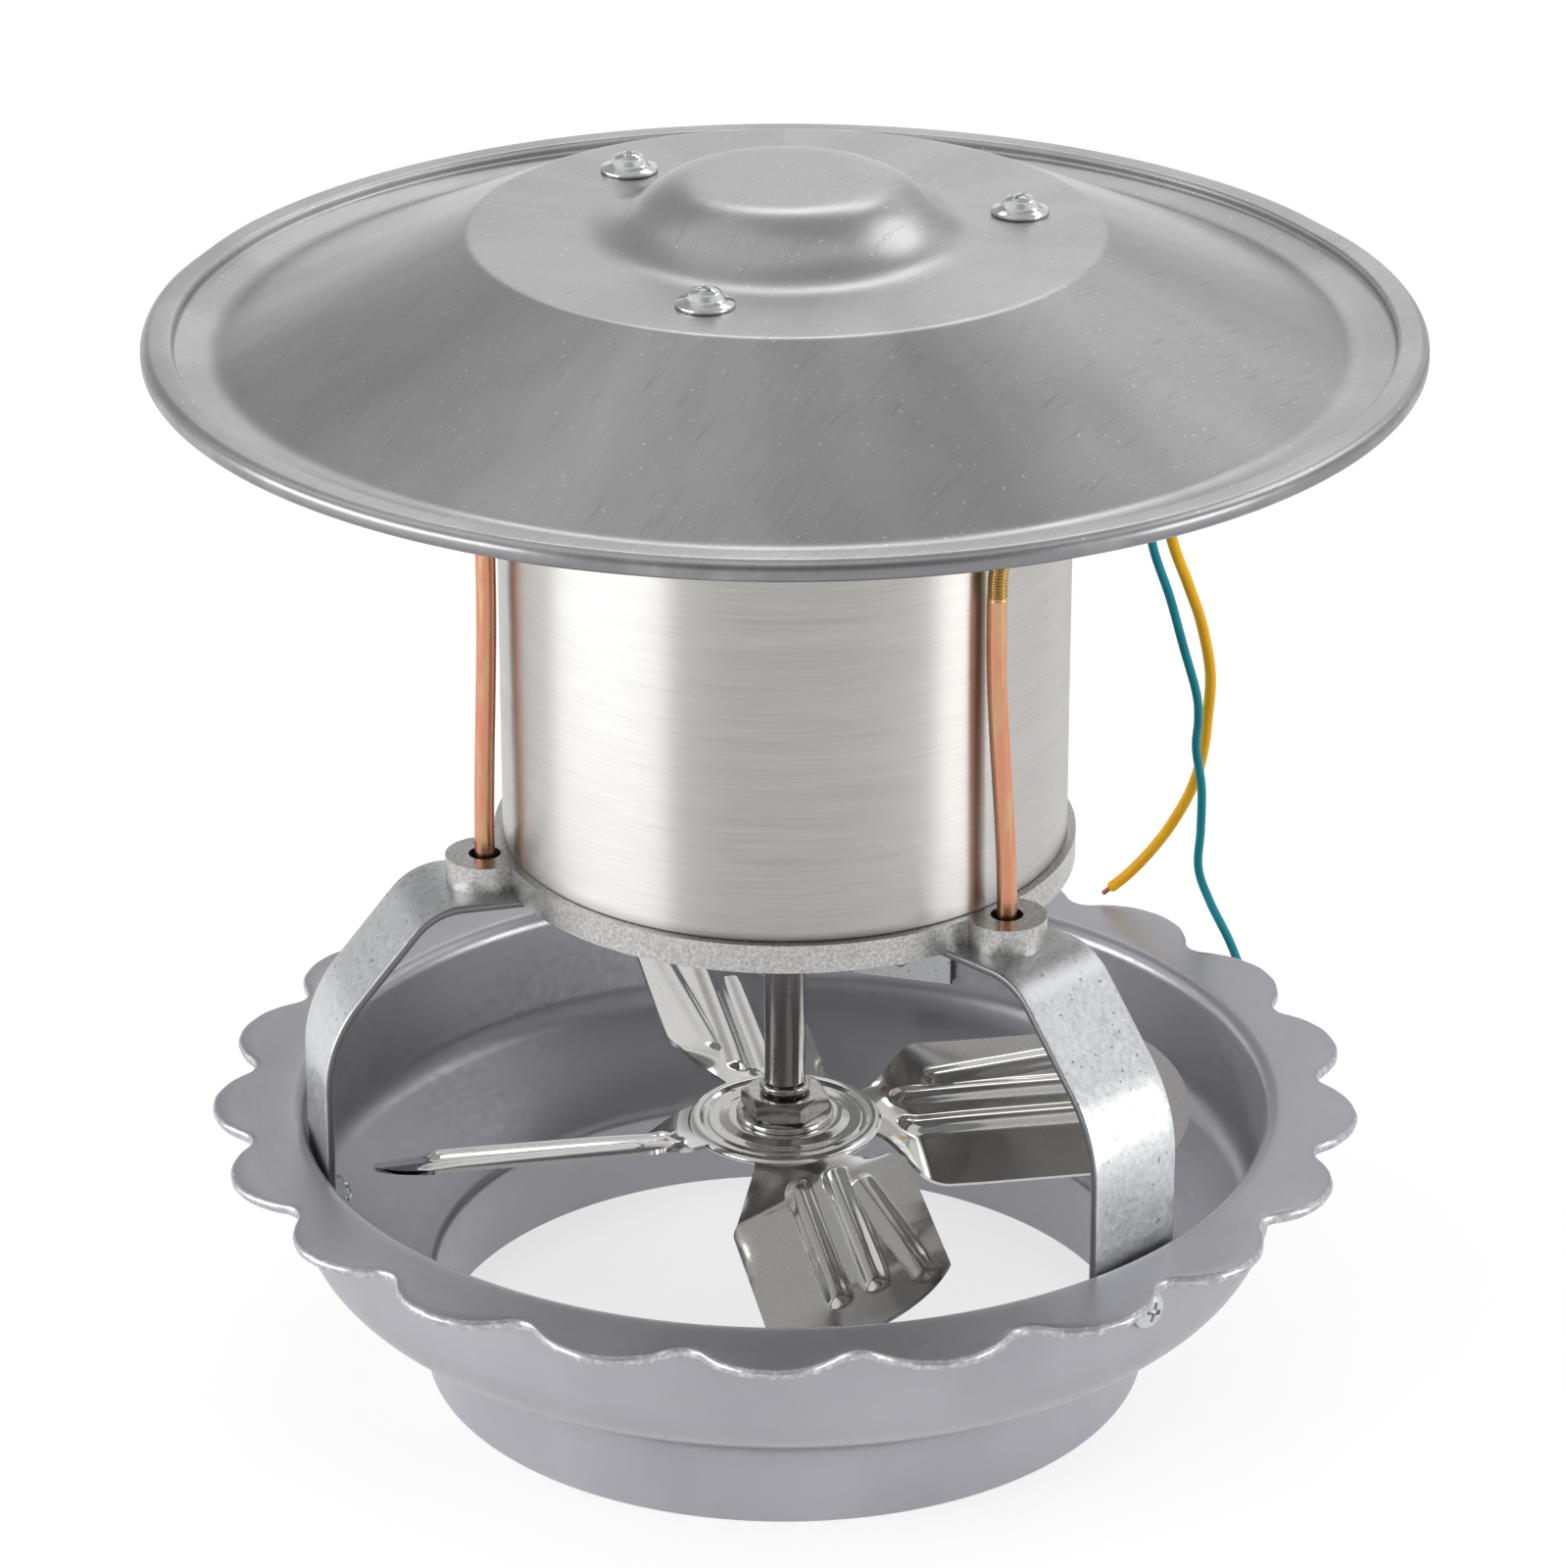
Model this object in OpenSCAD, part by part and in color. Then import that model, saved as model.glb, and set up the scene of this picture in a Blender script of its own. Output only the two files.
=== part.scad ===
// Chimney fan: a motor hung over a flue collar, with a four-blade impeller below it and a rain cap above.
// Z is the shaft's axis and points up. The origin is at the centre of the collar's lower edge.

/* [Flue collar and bowl] */
// Inner radius of the collar that sits on the flue
collar_r = 86.8; // [70:0.1:95]
// Height of the collar up to the bowl's floor
collar_h = 22; // [15:0.5:28]
// Inner radius of the bowl's upright wall
bowl_r = 118; // [112:0.5:128]
// Height of the outer edge of the bowl's floor
floor_h = 40; // [34:0.5:44]
// Height of the bowl's flange
bowl_h = 70.2; // [66:0.1:90]
// Wall of the bowl casting
bowl_wall = 2.8; // [2:0.1:3.4]
// Number of lobes round the flange
lobe_count = 21; // [15:1:27]
// Radius to the tips of the lobes
lobe_tip_r = 141; // [136:0.5:146]
// Depth of the notches between the lobes
lobe_depth = 8.5; // [5:0.5:9]

/* [Straps] */
// Width of a strap
strap_w = 27.5; // [20:0.5:30]
// Thickness of a strap
strap_t = 2; // [1.5:0.1:3]
// Height of the motor's lower bell above the flange
strap_rise = 65.4; // [60:0.1:90]
// Height of the strap's knee below the bell
knee_drop = 32.6; // [28:0.1:40]
// Distance of the strap's upper bend outside the tie rods
bend_reach = 15.6; // [13:0.1:18]
// Height of the strap screws
strap_screw_h = 56; // [53:0.5:59]

/* [Motor] */
// Outer radius of the motor can
can_r = 68.2; // [65:0.1:70]
// Length of the motor can
can_len = 97.6; // [85:0.1:140]
// Wall of the motor can
can_wall = 1.2; // [0.8:0.1:2]
// Height of an end bell's rim
bell_t = 7; // [6:0.1:9]
// Rim of an end bell outside the can
bell_lip = 2.1; // [1.5:0.1:3]
// Distance of the tie rods' axes outside the can
rod_gap = 5.9; // [5.6:0.1:9]
// Radius of a lug on an end bell
lug_r = 9.5; // [8:0.1:11]
// Height of the stator's iron core
core_h = 30; // [24:1:50]

/* [Shaft and impeller] */
// Diameter of the shaft where it leaves the motor
shaft_d = 10; // [8:0.1:12]
// Distance of the impeller's hub below the lower bell
hub_drop = 72.4; // [70:0.1:76]
// Tip radius of the impeller
fan_r = 102.6; // [90:0.1:106]
// Number of blades
blade_count = 4; // [3:1:5]
// Width of a blade
blade_w = 46; // [38:0.5:48]
// Pitch of a blade in degrees
blade_pitch = 22.9; // [15:0.1:26]
// Thickness of the impeller's sheet
blade_t = 1; // [0.8:0.1:1.4]
// Radius of the round end of a blade
tip_r = 27; // [25:0.5:40]
// Radius of the hub disc
hub_r = 24.5; // [23:0.1:27]

/* [Rain cap] */
// Outer radius of the cap over its curled edge
cap_r = 150; // [144:0.5:170]
// Sheet thickness of the cap
cap_sheet = 1; // [0.8:0.1:1.4]
// Clear height between the upper bell and the cap
cap_gap = 45.3; // [42:0.1:70]
// Radius of the cap's flat middle
plateau_r = 74.2; // [68:0.1:80]
// Height of the cap's flat middle above its brim
cap_rise = 27; // [20:0.5:34]
// Width of the brim inside the curled edge
brim_w = 9.5; // [8:0.5:14]
// Width of the curled edge
curl_w = 7.6; // [6.5:0.1:9]
// Height of the curled edge
curl_h = 5; // [4:0.1:6]
// Height of the round dome in the middle
dome_h = 12.5; // [8:0.5:16]
// Radius of the dome at its foot
dome_r = 40; // [36:0.5:42]
// Radius of the circle of cap screws
cap_screw_circle_r = 56; // [54:0.5:59]

/* [Fasteners] */
// Thread diameter of the rods, posts and screws
thread_d = 4.8; // [4:0.1:5.2]
// Width across the flats of the small nuts
small_nut_af = 8; // [7.5:0.1:9]
// Width across the flats of the hub nuts
hub_nut_af = 19; // [17:0.1:20]
// Width across the flats of a cap post
post_af = 10; // [9:0.1:11]
// Diameter of a cap screw's head
cap_head_d = 13.8; // [11:0.1:15]

/* [Leads] */
// Diameter of the yellow lead
yellow_d = 2.9; // [2:0.1:3.2]
// Diameter of the teal lead
teal_d = 2.3; // [1.8:0.1:2.6]

/* [Hidden] */
$fn = 96;
// Radial play of pieces that slide together
fit = 0.05;
// Extra radius of a hole that a screw or rod passes through
screw_play = 0.3;
// Overreach of a cutting solid
over = 1;

// Directions of the tie rods and straps, and of the cap posts
rod_angles = [-165.5, -45.5, 74.5];
post_angles = [-108.6, 11.4, 131.4];
// Direction of the first notch between the flange's lobes
lobe_phase = -65.6;
// Direction of the first blade
blade_phase = -80;

thread_r = thread_d / 2;
hole_r = thread_r + screw_play;
shaft_r = shaft_d / 2;
rod_circle_r = can_r + rod_gap;

// Heights from the collar's edge up
bell_z = bowl_h + strap_rise;
can_z = bell_z + bell_t;
can_top = can_z + can_len;
deck_z = can_top + bell_t;
cap_z = deck_z + cap_gap;
plateau_z = cap_z + cap_sheet;
brim_z = plateau_z - cap_rise;
hub_z = bell_z - hub_drop;

// Bowl: the floor, wall and flange share one wall thickness
collar_fillet = bowl_wall + 1.7;
floor_fillet = 5;
flange_fillet = bowl_wall + 1.2;
notch_r = lobe_tip_r - lobe_depth;
notch_fillet = 6;
half_lobe = 180 / lobe_count;
notch_centre_r = notch_r + notch_fillet;
// Radius of a lobe that is tangent to the rounded notches on both of its sides
lobe_r = (pow(notch_centre_r, 2) + pow(lobe_tip_r, 2)
          - 2 * notch_centre_r * lobe_tip_r * cos(half_lobe) - pow(notch_fillet, 2))
         / (2 * (lobe_tip_r - notch_centre_r * cos(half_lobe) + notch_fillet));
lobe_centre_r = lobe_tip_r - lobe_r;

// Straps: the upright part lies just inside the bowl's wall
strap_seat_gap = 0.3;
strap_face_r = sqrt(pow(bowl_r - strap_seat_gap, 2) - pow(strap_w / 2, 2));
strap_start_r = rod_circle_r - lug_r - 1;
strap_bend_r = rod_circle_r + bend_reach;
strap_bend_fillet = 16;
strap_knee_fillet = 36;
strap_foot_gap = 9.5;
strap_bottom = strap_screw_h - strap_foot_gap;
strap_hole_r = hole_r + 0.1;

// Motor
bell_r = can_r + bell_lip;
lug_hole_r = thread_r + 1.5;
spigot_h = 3;
spigot_wall = 4;
web_z = 1.5;
web_t = 3;
rib_t = 3;
boss_r = 18;
bearing_r = 13;
bearing_w = 8;
bearing_floor = 2;
bearing_shelf = 3;
ball_r = 2.38;
ball_count = 7;
ball_circle_r = (shaft_r + bearing_r) / 2;
race_gap = 1.4;
boss_h = bearing_shelf + bearing_w + bearing_floor;
shaft_hole_r = shaft_r + 1;
rim_w = 11;
lug_neck = 4;
low_bearing_z = can_z - bearing_shelf - bearing_w;
top_bearing_z = can_top + bearing_shelf;
core_r = can_r - can_wall - fit;
core_z = can_z + (can_len - core_h) / 2;
rotor_r = 33;
air_gap = 0.4;
journal_r = shaft_r + 1.2;
winding_h = 17;
winding_in_r = rotor_r + 4;
winding_out_r = core_r - 7;
end_ring_h = 5;

// Fasteners
rod_head_h = 3.5;
small_nut_h = 4;
rod_end = 3;
washer_r = 12;
washer_t = 1.6;
hub_nut_h = 5.2;
hub_nut_turn = -9.5;
keeper_r = 6.2;
keeper_t = 1.6;
keeper_gap = 0.9;
cap_head_h = 4.4;
cap_screw_len = 9.5;
strap_head_d = 9.6;
strap_head_h = 2.8;
post_stud = 5;
post_hole = 12;
post_boss_r = 7;
post_pad = 0.5;
post_z = deck_z + post_pad;

// Impeller: a raised hub with a lower rim, from which the blades' necks step down
hub_step = 0.9;
hub_flat_r = 14;
rim_t = blade_t + 0.4;
rim_mid_z = hub_z - hub_step - rim_t / 2;
neck_drop = 3.5;
blade_root_s = 17;
twist_start = 19;
twist_end = 34;
neck_start = 20;
neck_end = 38;
neck_w = 22;
blade_shift = 2.2;
rib_r = 3.2;
rib_rise = 1.4;
rib_end_gap = 16;
// Each rib of a blade: its start and its end, along and across the blade
long_rib_start = 31;
blade_ribs = [
    [[long_rib_start, -2.2], [fan_r - rib_end_gap, -2.2]],
    [[long_rib_start, 7.4], [fan_r - rib_end_gap, 7.4]],
    [[40, 13], [fan_r - rib_end_gap + 4, 19]],
];

// Cap: the curled edge is a flattened roll that stays open underneath
brim_edge_r = cap_r - curl_w;
slope_end_r = brim_edge_r - brim_w;
brim_lift = 1.6;
curl_top = brim_z + 4.2;
curl_fillet = 2.4;
curl_end_r = cap_r - 4.8;
dome_top_r = dome_r - 12;

// Grommet and leads
grommet_angle = 40;
grommet_circle_r = 50;
grommet_r = 5;
grommet_lip = 2.2;
grommet_low_lip = 1.2;
grommet_top_lip = 1.7;
yellow_route = [
    [39.9, 30.4, 246.4], [39.9, 30.4, 250], [42.5, 32.4, 256], [49, 36, 262], [58, 42, 263],
    [68, 49, 257.5], [78, 55.5, 246], [86, 60.5, 230], [92, 63.5, 210], [96, 66, 190],
    [101, 71, 175], [105, 77, 162], [108, 83, 146], [108, 88, 132], [107.5, 93, 120],
    [105.5, 98, 108], [101.5, 102, 97], [96.5, 106, 87], [90, 108.5, 78], [83.5, 108.8, 72.2],
];
teal_route = [
    [36.7, 33.8, 246.4], [36.7, 33.8, 250], [39, 36.5, 256], [46, 41, 260], [55, 46, 259.5],
    [65, 51, 252], [75, 55, 240], [83, 58.5, 225], [88.5, 60.5, 208], [91, 62, 190],
    [96, 66, 174], [100, 70, 159], [104, 75, 144], [105, 79, 135], [105, 83.5, 125],
    [107, 88, 112], [107.5, 93, 98], [107.5, 97, 85], [111, 99.5, 74], [117, 100.5, 61],
    [122, 102, 46], [124.5, 104, 31], [125, 107, 16], [122.5, 112, 5.5], [117, 118, 2],
    [108, 125, 1.5], [97, 131, 1.5],
];

function unit(v) = v / norm(v);

// Arc in a corner at b between a and c, no larger than its sides allow
function corner_arc(a, b, c, r, steps) =
    let (u = unit(a - b),
         v = unit(c - b),
         half = acos(u * v) / 2,
         room = 0.49 * min(norm(a - b), norm(c - b)),
         radius = min(r, room * tan(half)),
         centre = b + unit(u + v) * radius / sin(half),
         p = b + u * radius / tan(half) - centre,
         q = b + v * radius / tan(half) - centre,
         start = atan2(p.y, p.x),
         turn = atan2(p.x * q.y - p.y * q.x, p * q))
    [for (i = [0:steps]) centre + radius * [cos(start + turn * i / steps), sin(start + turn * i / steps)]];

function flat_point(p) = [p.x, p.y];

// Path through points [x, y, corner radius] with its corners rounded
function round_path(points, steps = 6) =
    [for (i = [0:len(points) - 1])
        each (i == 0 || i == len(points) - 1 || points[i][2] == 0)
            ? [flat_point(points[i])]
            : corner_arc(flat_point(points[i - 1]), flat_point(points[i]),
                         flat_point(points[i + 1]), points[i][2], steps)];

function right_normal(a, b) = [unit(b - a).y, -unit(b - a).x];

// Point i of a path moved to the right of it by t, with mitred corners
function moved_point(path, i, t) =
    let (last = len(path) - 1,
         before = right_normal(path[max(i - 1, 0)], path[max(i, 1)]),
         after = right_normal(path[min(i, last - 1)], path[min(i + 1, last)]),
         mitre = unit(before + after))
    path[i] + mitre * t / (mitre * before);

// Outline of a sheet of thickness t that lies to the right of a path
function sheet_outline(path, t) =
    concat(path, [for (i = [len(path) - 1:-1:0]) moved_point(path, i, t)]);

// Rounded rectangle from corner a to corner b
function round_box(a, b, r) =
    let (mid = [(a.x + b.x) / 2, a.y])
    round_path([[mid.x, a.y, 0], [b.x, a.y, r], [b.x, b.y, r], [a.x, b.y, r], [a.x, a.y, r], [mid.x, a.y, 0]]);

function ease(x) = let (t = min(max(x, 0), 1)) t * t * (3 - 2 * t);

module around(angles) {
    for (angle = angles) {
        rotate([0, 0, angle]) children();
    }
}

module tube(outer, inner, low, high) {
    translate([0, 0, low]) difference() {
        cylinder(r = outer, h = high - low);
        translate([0, 0, -over]) cylinder(r = inner, h = high - low + 2 * over);
    }
}

module hex_prism(flats, low, high) {
    translate([0, 0, low]) cylinder(r = flats / sqrt(3), h = high - low, $fn = 6);
}

module hex_nut(flats, hole, low, high) {
    difference() {
        intersection() {
            hex_prism(flats, low, high);
            nut_chamfer(flats, low, high);
        }
        translate([0, 0, low - over]) cylinder(r = hole, h = high - low + 2 * over);
    }
}

// Cone that takes the corners off a nut's top and bottom
module nut_chamfer(flats, low, high) {
    chamfer = flats * 0.05;
    translate([0, 0, low]) rotate_extrude() polygon([
        [0, 0], [flats * 0.52, 0], [flats * 0.58, chamfer],
        [flats * 0.58, high - low - chamfer], [flats * 0.52, high - low], [0, high - low],
    ]);
}

// Low round head whose flat side lies at z = 0, with a cross cut in its top
module round_head(d, h) {
    ball = (d * d / 4 + h * h) / (2 * h);
    cross_l = d * 0.42;
    cross_w = d * 0.085;
    cross_depth = h * 0.45;
    difference() {
        intersection() {
            translate([0, 0, h - ball]) sphere(r = ball);
            cylinder(r = d / 2, h = h + over);
        }
        for (turn = [0, 90]) {
            rotate([0, 0, turn]) translate([-cross_l / 2, -cross_w / 2, h - cross_depth])
                cube([cross_l, cross_w, h]);
        }
    }
}

// Outline of the flange: round lobes that run into rounded notches
module lobed_outline() {
    lobe_points = [for (i = [0:lobe_count - 1]) each [
        notch_centre_r * [cos(2 * i * half_lobe), sin(2 * i * half_lobe)],
        lobe_centre_r * [cos((2 * i + 1) * half_lobe), sin((2 * i + 1) * half_lobe)],
    ]];
    rotate(lobe_phase) difference() {
        union() {
            polygon(lobe_points);
            for (i = [0:lobe_count - 1]) {
                rotate((2 * i + 1) * half_lobe) translate([lobe_centre_r, 0]) circle(r = lobe_r);
            }
        }
        for (i = [0:lobe_count - 1]) {
            rotate(2 * i * half_lobe) translate([notch_centre_r, 0]) circle(r = notch_fillet);
        }
    }
}

module base_bowl() {
    inner = round_path([
        [collar_r, 0, 0],
        [collar_r, collar_h, collar_fillet],
        [bowl_r, floor_h, floor_fillet],
        [bowl_r, bowl_h, flange_fillet],
        [lobe_tip_r + 2 * over, bowl_h, 0],
    ]);
    color("slategray") difference() {
        intersection() {
            rotate_extrude() polygon(sheet_outline(inner, bowl_wall));
            translate([0, 0, -over]) linear_extrude(bowl_h + 2 * over) lobed_outline();
        }
        around(rod_angles) translate([bowl_r - 3 * over, 0, strap_screw_h]) rotate([0, 90, 0])
            cylinder(r = hole_r, h = bowl_wall + 6 * over);
    }
}

// Bent strip from under a motor lug to the inside of the bowl's wall
module strap(angle) {
    outer = round_path([
        [strap_start_r, bell_z, 0],
        [strap_bend_r, bell_z, strap_bend_fillet],
        [strap_face_r, bell_z - knee_drop, strap_knee_fillet],
        [strap_face_r, strap_bottom, 0],
    ], 8);
    color("silver") rotate([0, 0, angle]) difference() {
        rotate([90, 0, 0]) linear_extrude(strap_w, center = true)
            polygon(sheet_outline(outer, strap_t));
        translate([rod_circle_r, 0, bell_z - strap_t - over])
            cylinder(r = strap_hole_r, h = strap_t + 2 * over);
        translate([strap_face_r - strap_t - over, 0, strap_screw_h]) rotate([0, 90, 0])
            cylinder(r = strap_hole_r, h = strap_t + 2 * over);
    }
}

module strap_left() {
    strap(rod_angles[0]);
}

module strap_right() {
    strap(rod_angles[1]);
}

module strap_rear() {
    strap(rod_angles[2]);
}

module strap_screws() {
    seat_r = bowl_r + bowl_wall + fit;
    end_r = strap_face_r - strap_t - small_nut_h - 1.5;
    color("lightgray") around(rod_angles) translate([0, 0, strap_screw_h]) rotate([0, 90, 0]) {
        translate([0, 0, end_r]) cylinder(r = thread_r, h = seat_r - end_r + over);
        translate([0, 0, seat_r]) round_head(strap_head_d, strap_head_h);
    }
}

module strap_nuts() {
    seat_r = strap_face_r - strap_t;
    color("lightgray") around(rod_angles) translate([0, 0, strap_screw_h]) rotate([0, 90, 0])
        hex_nut(small_nut_af, thread_r + fit, seat_r - small_nut_h, seat_r);
}

// Outline of an end bell's rim with its three lugs
module rim_outline() {
    difference() {
        union() {
            circle(r = bell_r);
            for (angle = rod_angles) {
                rotate(angle) {
                    translate([rod_circle_r, 0]) circle(r = lug_r);
                    translate([bell_r - lug_neck, -lug_r * 0.75])
                        square([rod_circle_r - bell_r + lug_neck, lug_r * 1.5]);
                }
            }
        }
        circle(r = bell_r - rim_w);
        for (angle = rod_angles) {
            rotate(angle) translate([rod_circle_r, 0]) circle(r = lug_hole_r);
        }
    }
}

// End bell with its open side at z = 0: rim, spigot, web with ribs, and a cup for the bearing
module end_bell() {
    spigot_r = can_r - can_wall - fit;
    linear_extrude(bell_t) rim_outline();
    tube(spigot_r, spigot_r - spigot_wall, -spigot_h, over);
    difference() {
        union() {
            translate([0, 0, web_z]) cylinder(r = bell_r - rim_w + over, h = web_t);
            translate([0, 0, -over]) cylinder(r = boss_r, h = boss_h + over);
            for (i = [0:5]) {
                rotate([0, 0, rod_angles[0] + 60 * i])
                    translate([boss_r - over, -rib_t / 2, web_z + over])
                    cube([bell_r - rim_w - boss_r + 2 * over, rib_t, bell_t - web_z - 1.6 * over]);
            }
        }
        translate([0, 0, -2 * over])
            cylinder(r = bearing_r + fit / 2, h = boss_h - bearing_floor + 2 * over);
    }
}

module lower_bell() {
    color("darkgray") difference() {
        translate([0, 0, can_z]) mirror([0, 0, 1]) end_bell();
        translate([0, 0, can_z - boss_h - over])
            cylinder(r = shaft_hole_r, h = bearing_floor + 2 * over);
    }
}

module upper_bell() {
    color("darkgray") translate([0, 0, can_top]) difference() {
        union() {
            end_bell();
            around(post_angles) translate([cap_screw_circle_r, 0, web_z + over])
                cylinder(r = post_boss_r, h = bell_t + post_pad - web_z - over);
        }
        around(post_angles) translate([cap_screw_circle_r, 0, -over])
            cylinder(r = thread_r + fit, h = bell_t + post_pad + 2 * over);
        rotate([0, 0, grommet_angle]) translate([grommet_circle_r, 0, web_z - over])
            cylinder(r = grommet_r + fit, h = web_t + 2 * over);
    }
}

module motor_can() {
    color("gainsboro") tube(can_r, can_r - can_wall, can_z, can_top);
}

module tie_rods() {
    low = bell_z - strap_t;
    color("peru") around(rod_angles) translate([rod_circle_r, 0, 0]) {
        translate([0, 0, low]) cylinder(r = thread_r, h = deck_z + small_nut_h + rod_end - low);
        hex_prism(small_nut_af, low - rod_head_h, low);
    }
}

module tie_rod_nuts() {
    color("goldenrod") around(rod_angles) translate([rod_circle_r, 0, 0])
        hex_nut(small_nut_af, thread_r + fit, deck_z, deck_z + small_nut_h);
}

// Hexagonal posts with a stud below and a threaded hole above
module cap_posts() {
    color("lightgray") around(post_angles) translate([cap_screw_circle_r, 0, 0]) {
        translate([0, 0, post_z - post_stud]) cylinder(r = thread_r, h = post_stud + over);
        difference() {
            hex_prism(post_af, post_z, cap_z);
            translate([0, 0, cap_z - post_hole])
                cylinder(r = thread_r + fit, h = post_hole + over);
        }
    }
}

// Pressed sheet: dome, flat middle, slope, rising brim and a curled edge
module cap_cover() {
    pressed = round_path([
        [0, plateau_z + dome_h, 0],
        [dome_top_r, plateau_z + dome_h, 20],
        [dome_r, plateau_z, 18],
        [plateau_r, plateau_z, 5],
        [slope_end_r, brim_z, 9],
        [brim_edge_r, brim_z + brim_lift, 0.8],
        [brim_edge_r, curl_top, curl_fillet],
        [cap_r, curl_top, curl_fillet],
        [cap_r, curl_top - curl_h, curl_fillet],
        [curl_end_r, curl_top - curl_h, 0],
    ]);
    color("silver") difference() {
        rotate_extrude() polygon(sheet_outline(pressed, cap_sheet));
        around(post_angles) translate([cap_screw_circle_r, 0, cap_z - over])
            cylinder(r = hole_r, h = cap_sheet + 2 * over);
    }
}

module cap_screws() {
    color("whitesmoke") around(post_angles) translate([cap_screw_circle_r, 0, plateau_z]) {
        translate([0, 0, -cap_screw_len]) cylinder(r = thread_r, h = cap_screw_len + over);
        round_head(cap_head_d, cap_head_h);
    }
}

module stator_core() {
    color("dimgray") tube(core_r, rotor_r + air_gap, core_z, core_z + core_h);
}

module stator_windings() {
    color("chocolate") for (low = [core_z - winding_h, core_z + core_h]) {
        rotate_extrude() polygon(round_box([winding_in_r, low], [winding_out_r, low + winding_h], 5));
    }
}

// Section of one race, with the groove that the balls run in
module race(inner, outer) {
    rotate_extrude() difference() {
        translate([inner, 0]) square([outer - inner, bearing_w]);
        translate([ball_circle_r, bearing_w / 2]) circle(r = ball_r + fit / 2);
    }
}

module bearing_outer_races() {
    color("lightsteelblue") for (low = [low_bearing_z, top_bearing_z]) {
        translate([0, 0, low]) race(ball_circle_r + race_gap, bearing_r);
    }
}

module bearing_inner_races() {
    color("lightsteelblue") for (low = [low_bearing_z, top_bearing_z]) {
        translate([0, 0, low]) race(shaft_r + fit / 2, ball_circle_r - race_gap);
    }
}

module bearing_balls() {
    color("white") for (low = [low_bearing_z, top_bearing_z]) {
        for (i = [0:ball_count - 1]) {
            rotate([0, 0, 360 * i / ball_count])
                translate([ball_circle_r, 0, low + bearing_w / 2]) sphere(r = ball_r);
        }
    }
}

module motor_shaft() {
    low = hub_z - hub_step - rim_t - washer_t - hub_nut_h - 2;
    step_low = low_bearing_z + bearing_w + fit;
    step_high = top_bearing_z - fit;
    color("gainsboro") {
        translate([0, 0, low]) cylinder(r = shaft_r, h = top_bearing_z + bearing_w - 0.5 - low);
        translate([0, 0, step_low]) cylinder(r = journal_r, h = step_high - step_low);
    }
}

module rotor_core() {
    color("gray") difference() {
        union() {
            translate([0, 0, core_z]) cylinder(r = rotor_r, h = core_h);
            tube(rotor_r - 2, journal_r + 10, core_z - end_ring_h, core_z + core_h + end_ring_h);
        }
        translate([0, 0, core_z - over]) cylinder(r = journal_r + fit / 2, h = core_h + 2 * over);
    }
}

// Ring in a groove that stops the upper hub nut
module shaft_keeper() {
    low = hub_z + washer_t + hub_nut_h + keeper_gap;
    color("silver") tube(keeper_r, shaft_r + fit / 2, low, low + keeper_t);
}

// Height and reach of a blade's sheet at distance s along it and w across it
function blade_point(s, w, side) =
    let (turned = ease((s - twist_start) / (twist_end - twist_start)),
         pitch = blade_pitch * turned,
         lift = side * blade_t / 2)
    [s, w * cos(pitch) - lift * sin(pitch), w * sin(pitch) + lift * cos(pitch) - neck_drop * turned];

// Edge of a blade: it widens from the neck to its full width
function blade_edge(s, share) =
    let (wide = ease((s - neck_start) / (neck_end - neck_start)))
    blade_shift * wide + (share - 0.5) * (neck_w + (blade_w - neck_w) * wide);

function blade_tip(w) = fan_r - tip_r + sqrt(pow(tip_r, 2) - pow(w - blade_shift, 2));

// Sheet of one blade: rows run across it from the neck to the round tip
module blade_sheet() {
    columns = 14;
    neck_rows = 10;
    outer_rows = 3;
    rows = neck_rows + outer_rows;
    grid = [for (row = [0:rows], column = [0:columns])
        let (along = min(row / neck_rows, 1),
             s0 = blade_root_s + (neck_end + 1 - blade_root_s) * along,
             w = blade_edge(s0, column / columns),
             s = s0 + (blade_tip(w) - s0) * max(row - neck_rows, 0) / outer_rows)
        [s, w]];
    top = [for (p = grid) blade_point(p.x, p.y, 1)];
    bottom = [for (p = grid) blade_point(p.x, p.y, -1)];
    wide = columns + 1;
    shift = len(top);
    skin = [for (row = [0:rows - 1], column = [0:columns - 1])
        let (a = row * wide + column)
        each [[a, a + 1, a + wide + 1], [a, a + wide + 1, a + wide]]];
    under = [for (f = skin) [f[0] + shift, f[2] + shift, f[1] + shift]];
    edge = concat(
        [for (c = [0:columns - 1]) [c + 1, c]],
        [for (r = [0:rows - 1]) [r * wide, (r + 1) * wide]],
        [for (c = [0:columns - 1]) [rows * wide + c, rows * wide + c + 1]],
        [for (r = [0:rows - 1]) [(r + 1) * wide + columns, r * wide + columns]]);
    wall = [for (e = edge) each [[e[0], e[1], e[1] + shift], [e[0], e[1] + shift, e[0] + shift]]];
    polyhedron(points = concat(top, bottom), faces = concat(skin, under, wall));
}

// Round bar with ball ends that a blade's rib is pressed over
module rib_bar(from, to, r) {
    run = to - from;
    translate([from.x, from.y, blade_t / 2 + rib_rise - rib_r]) rotate([0, 0, atan2(run.y, run.x)]) {
        rotate([0, 90, 0]) cylinder(r = r, h = norm(run));
        sphere(r = r);
        translate([norm(run), 0, 0]) sphere(r = r);
    }
}

module blade() {
    difference() {
        union() {
            blade_sheet();
            translate([0, 0, -neck_drop]) rotate([blade_pitch, 0, 0]) intersection() {
                for (rib = blade_ribs) {
                    rib_bar(rib[0], rib[1], rib_r);
                }
                translate([0, -blade_w, -blade_t / 4]) cube([fan_r, 2 * blade_w, 2 * rib_r]);
            }
        }
        translate([0, 0, -neck_drop]) rotate([blade_pitch, 0, 0]) {
            for (rib = blade_ribs) {
                rib_bar(rib[0], rib[1], rib_r - blade_t);
            }
        }
    }
}

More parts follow.
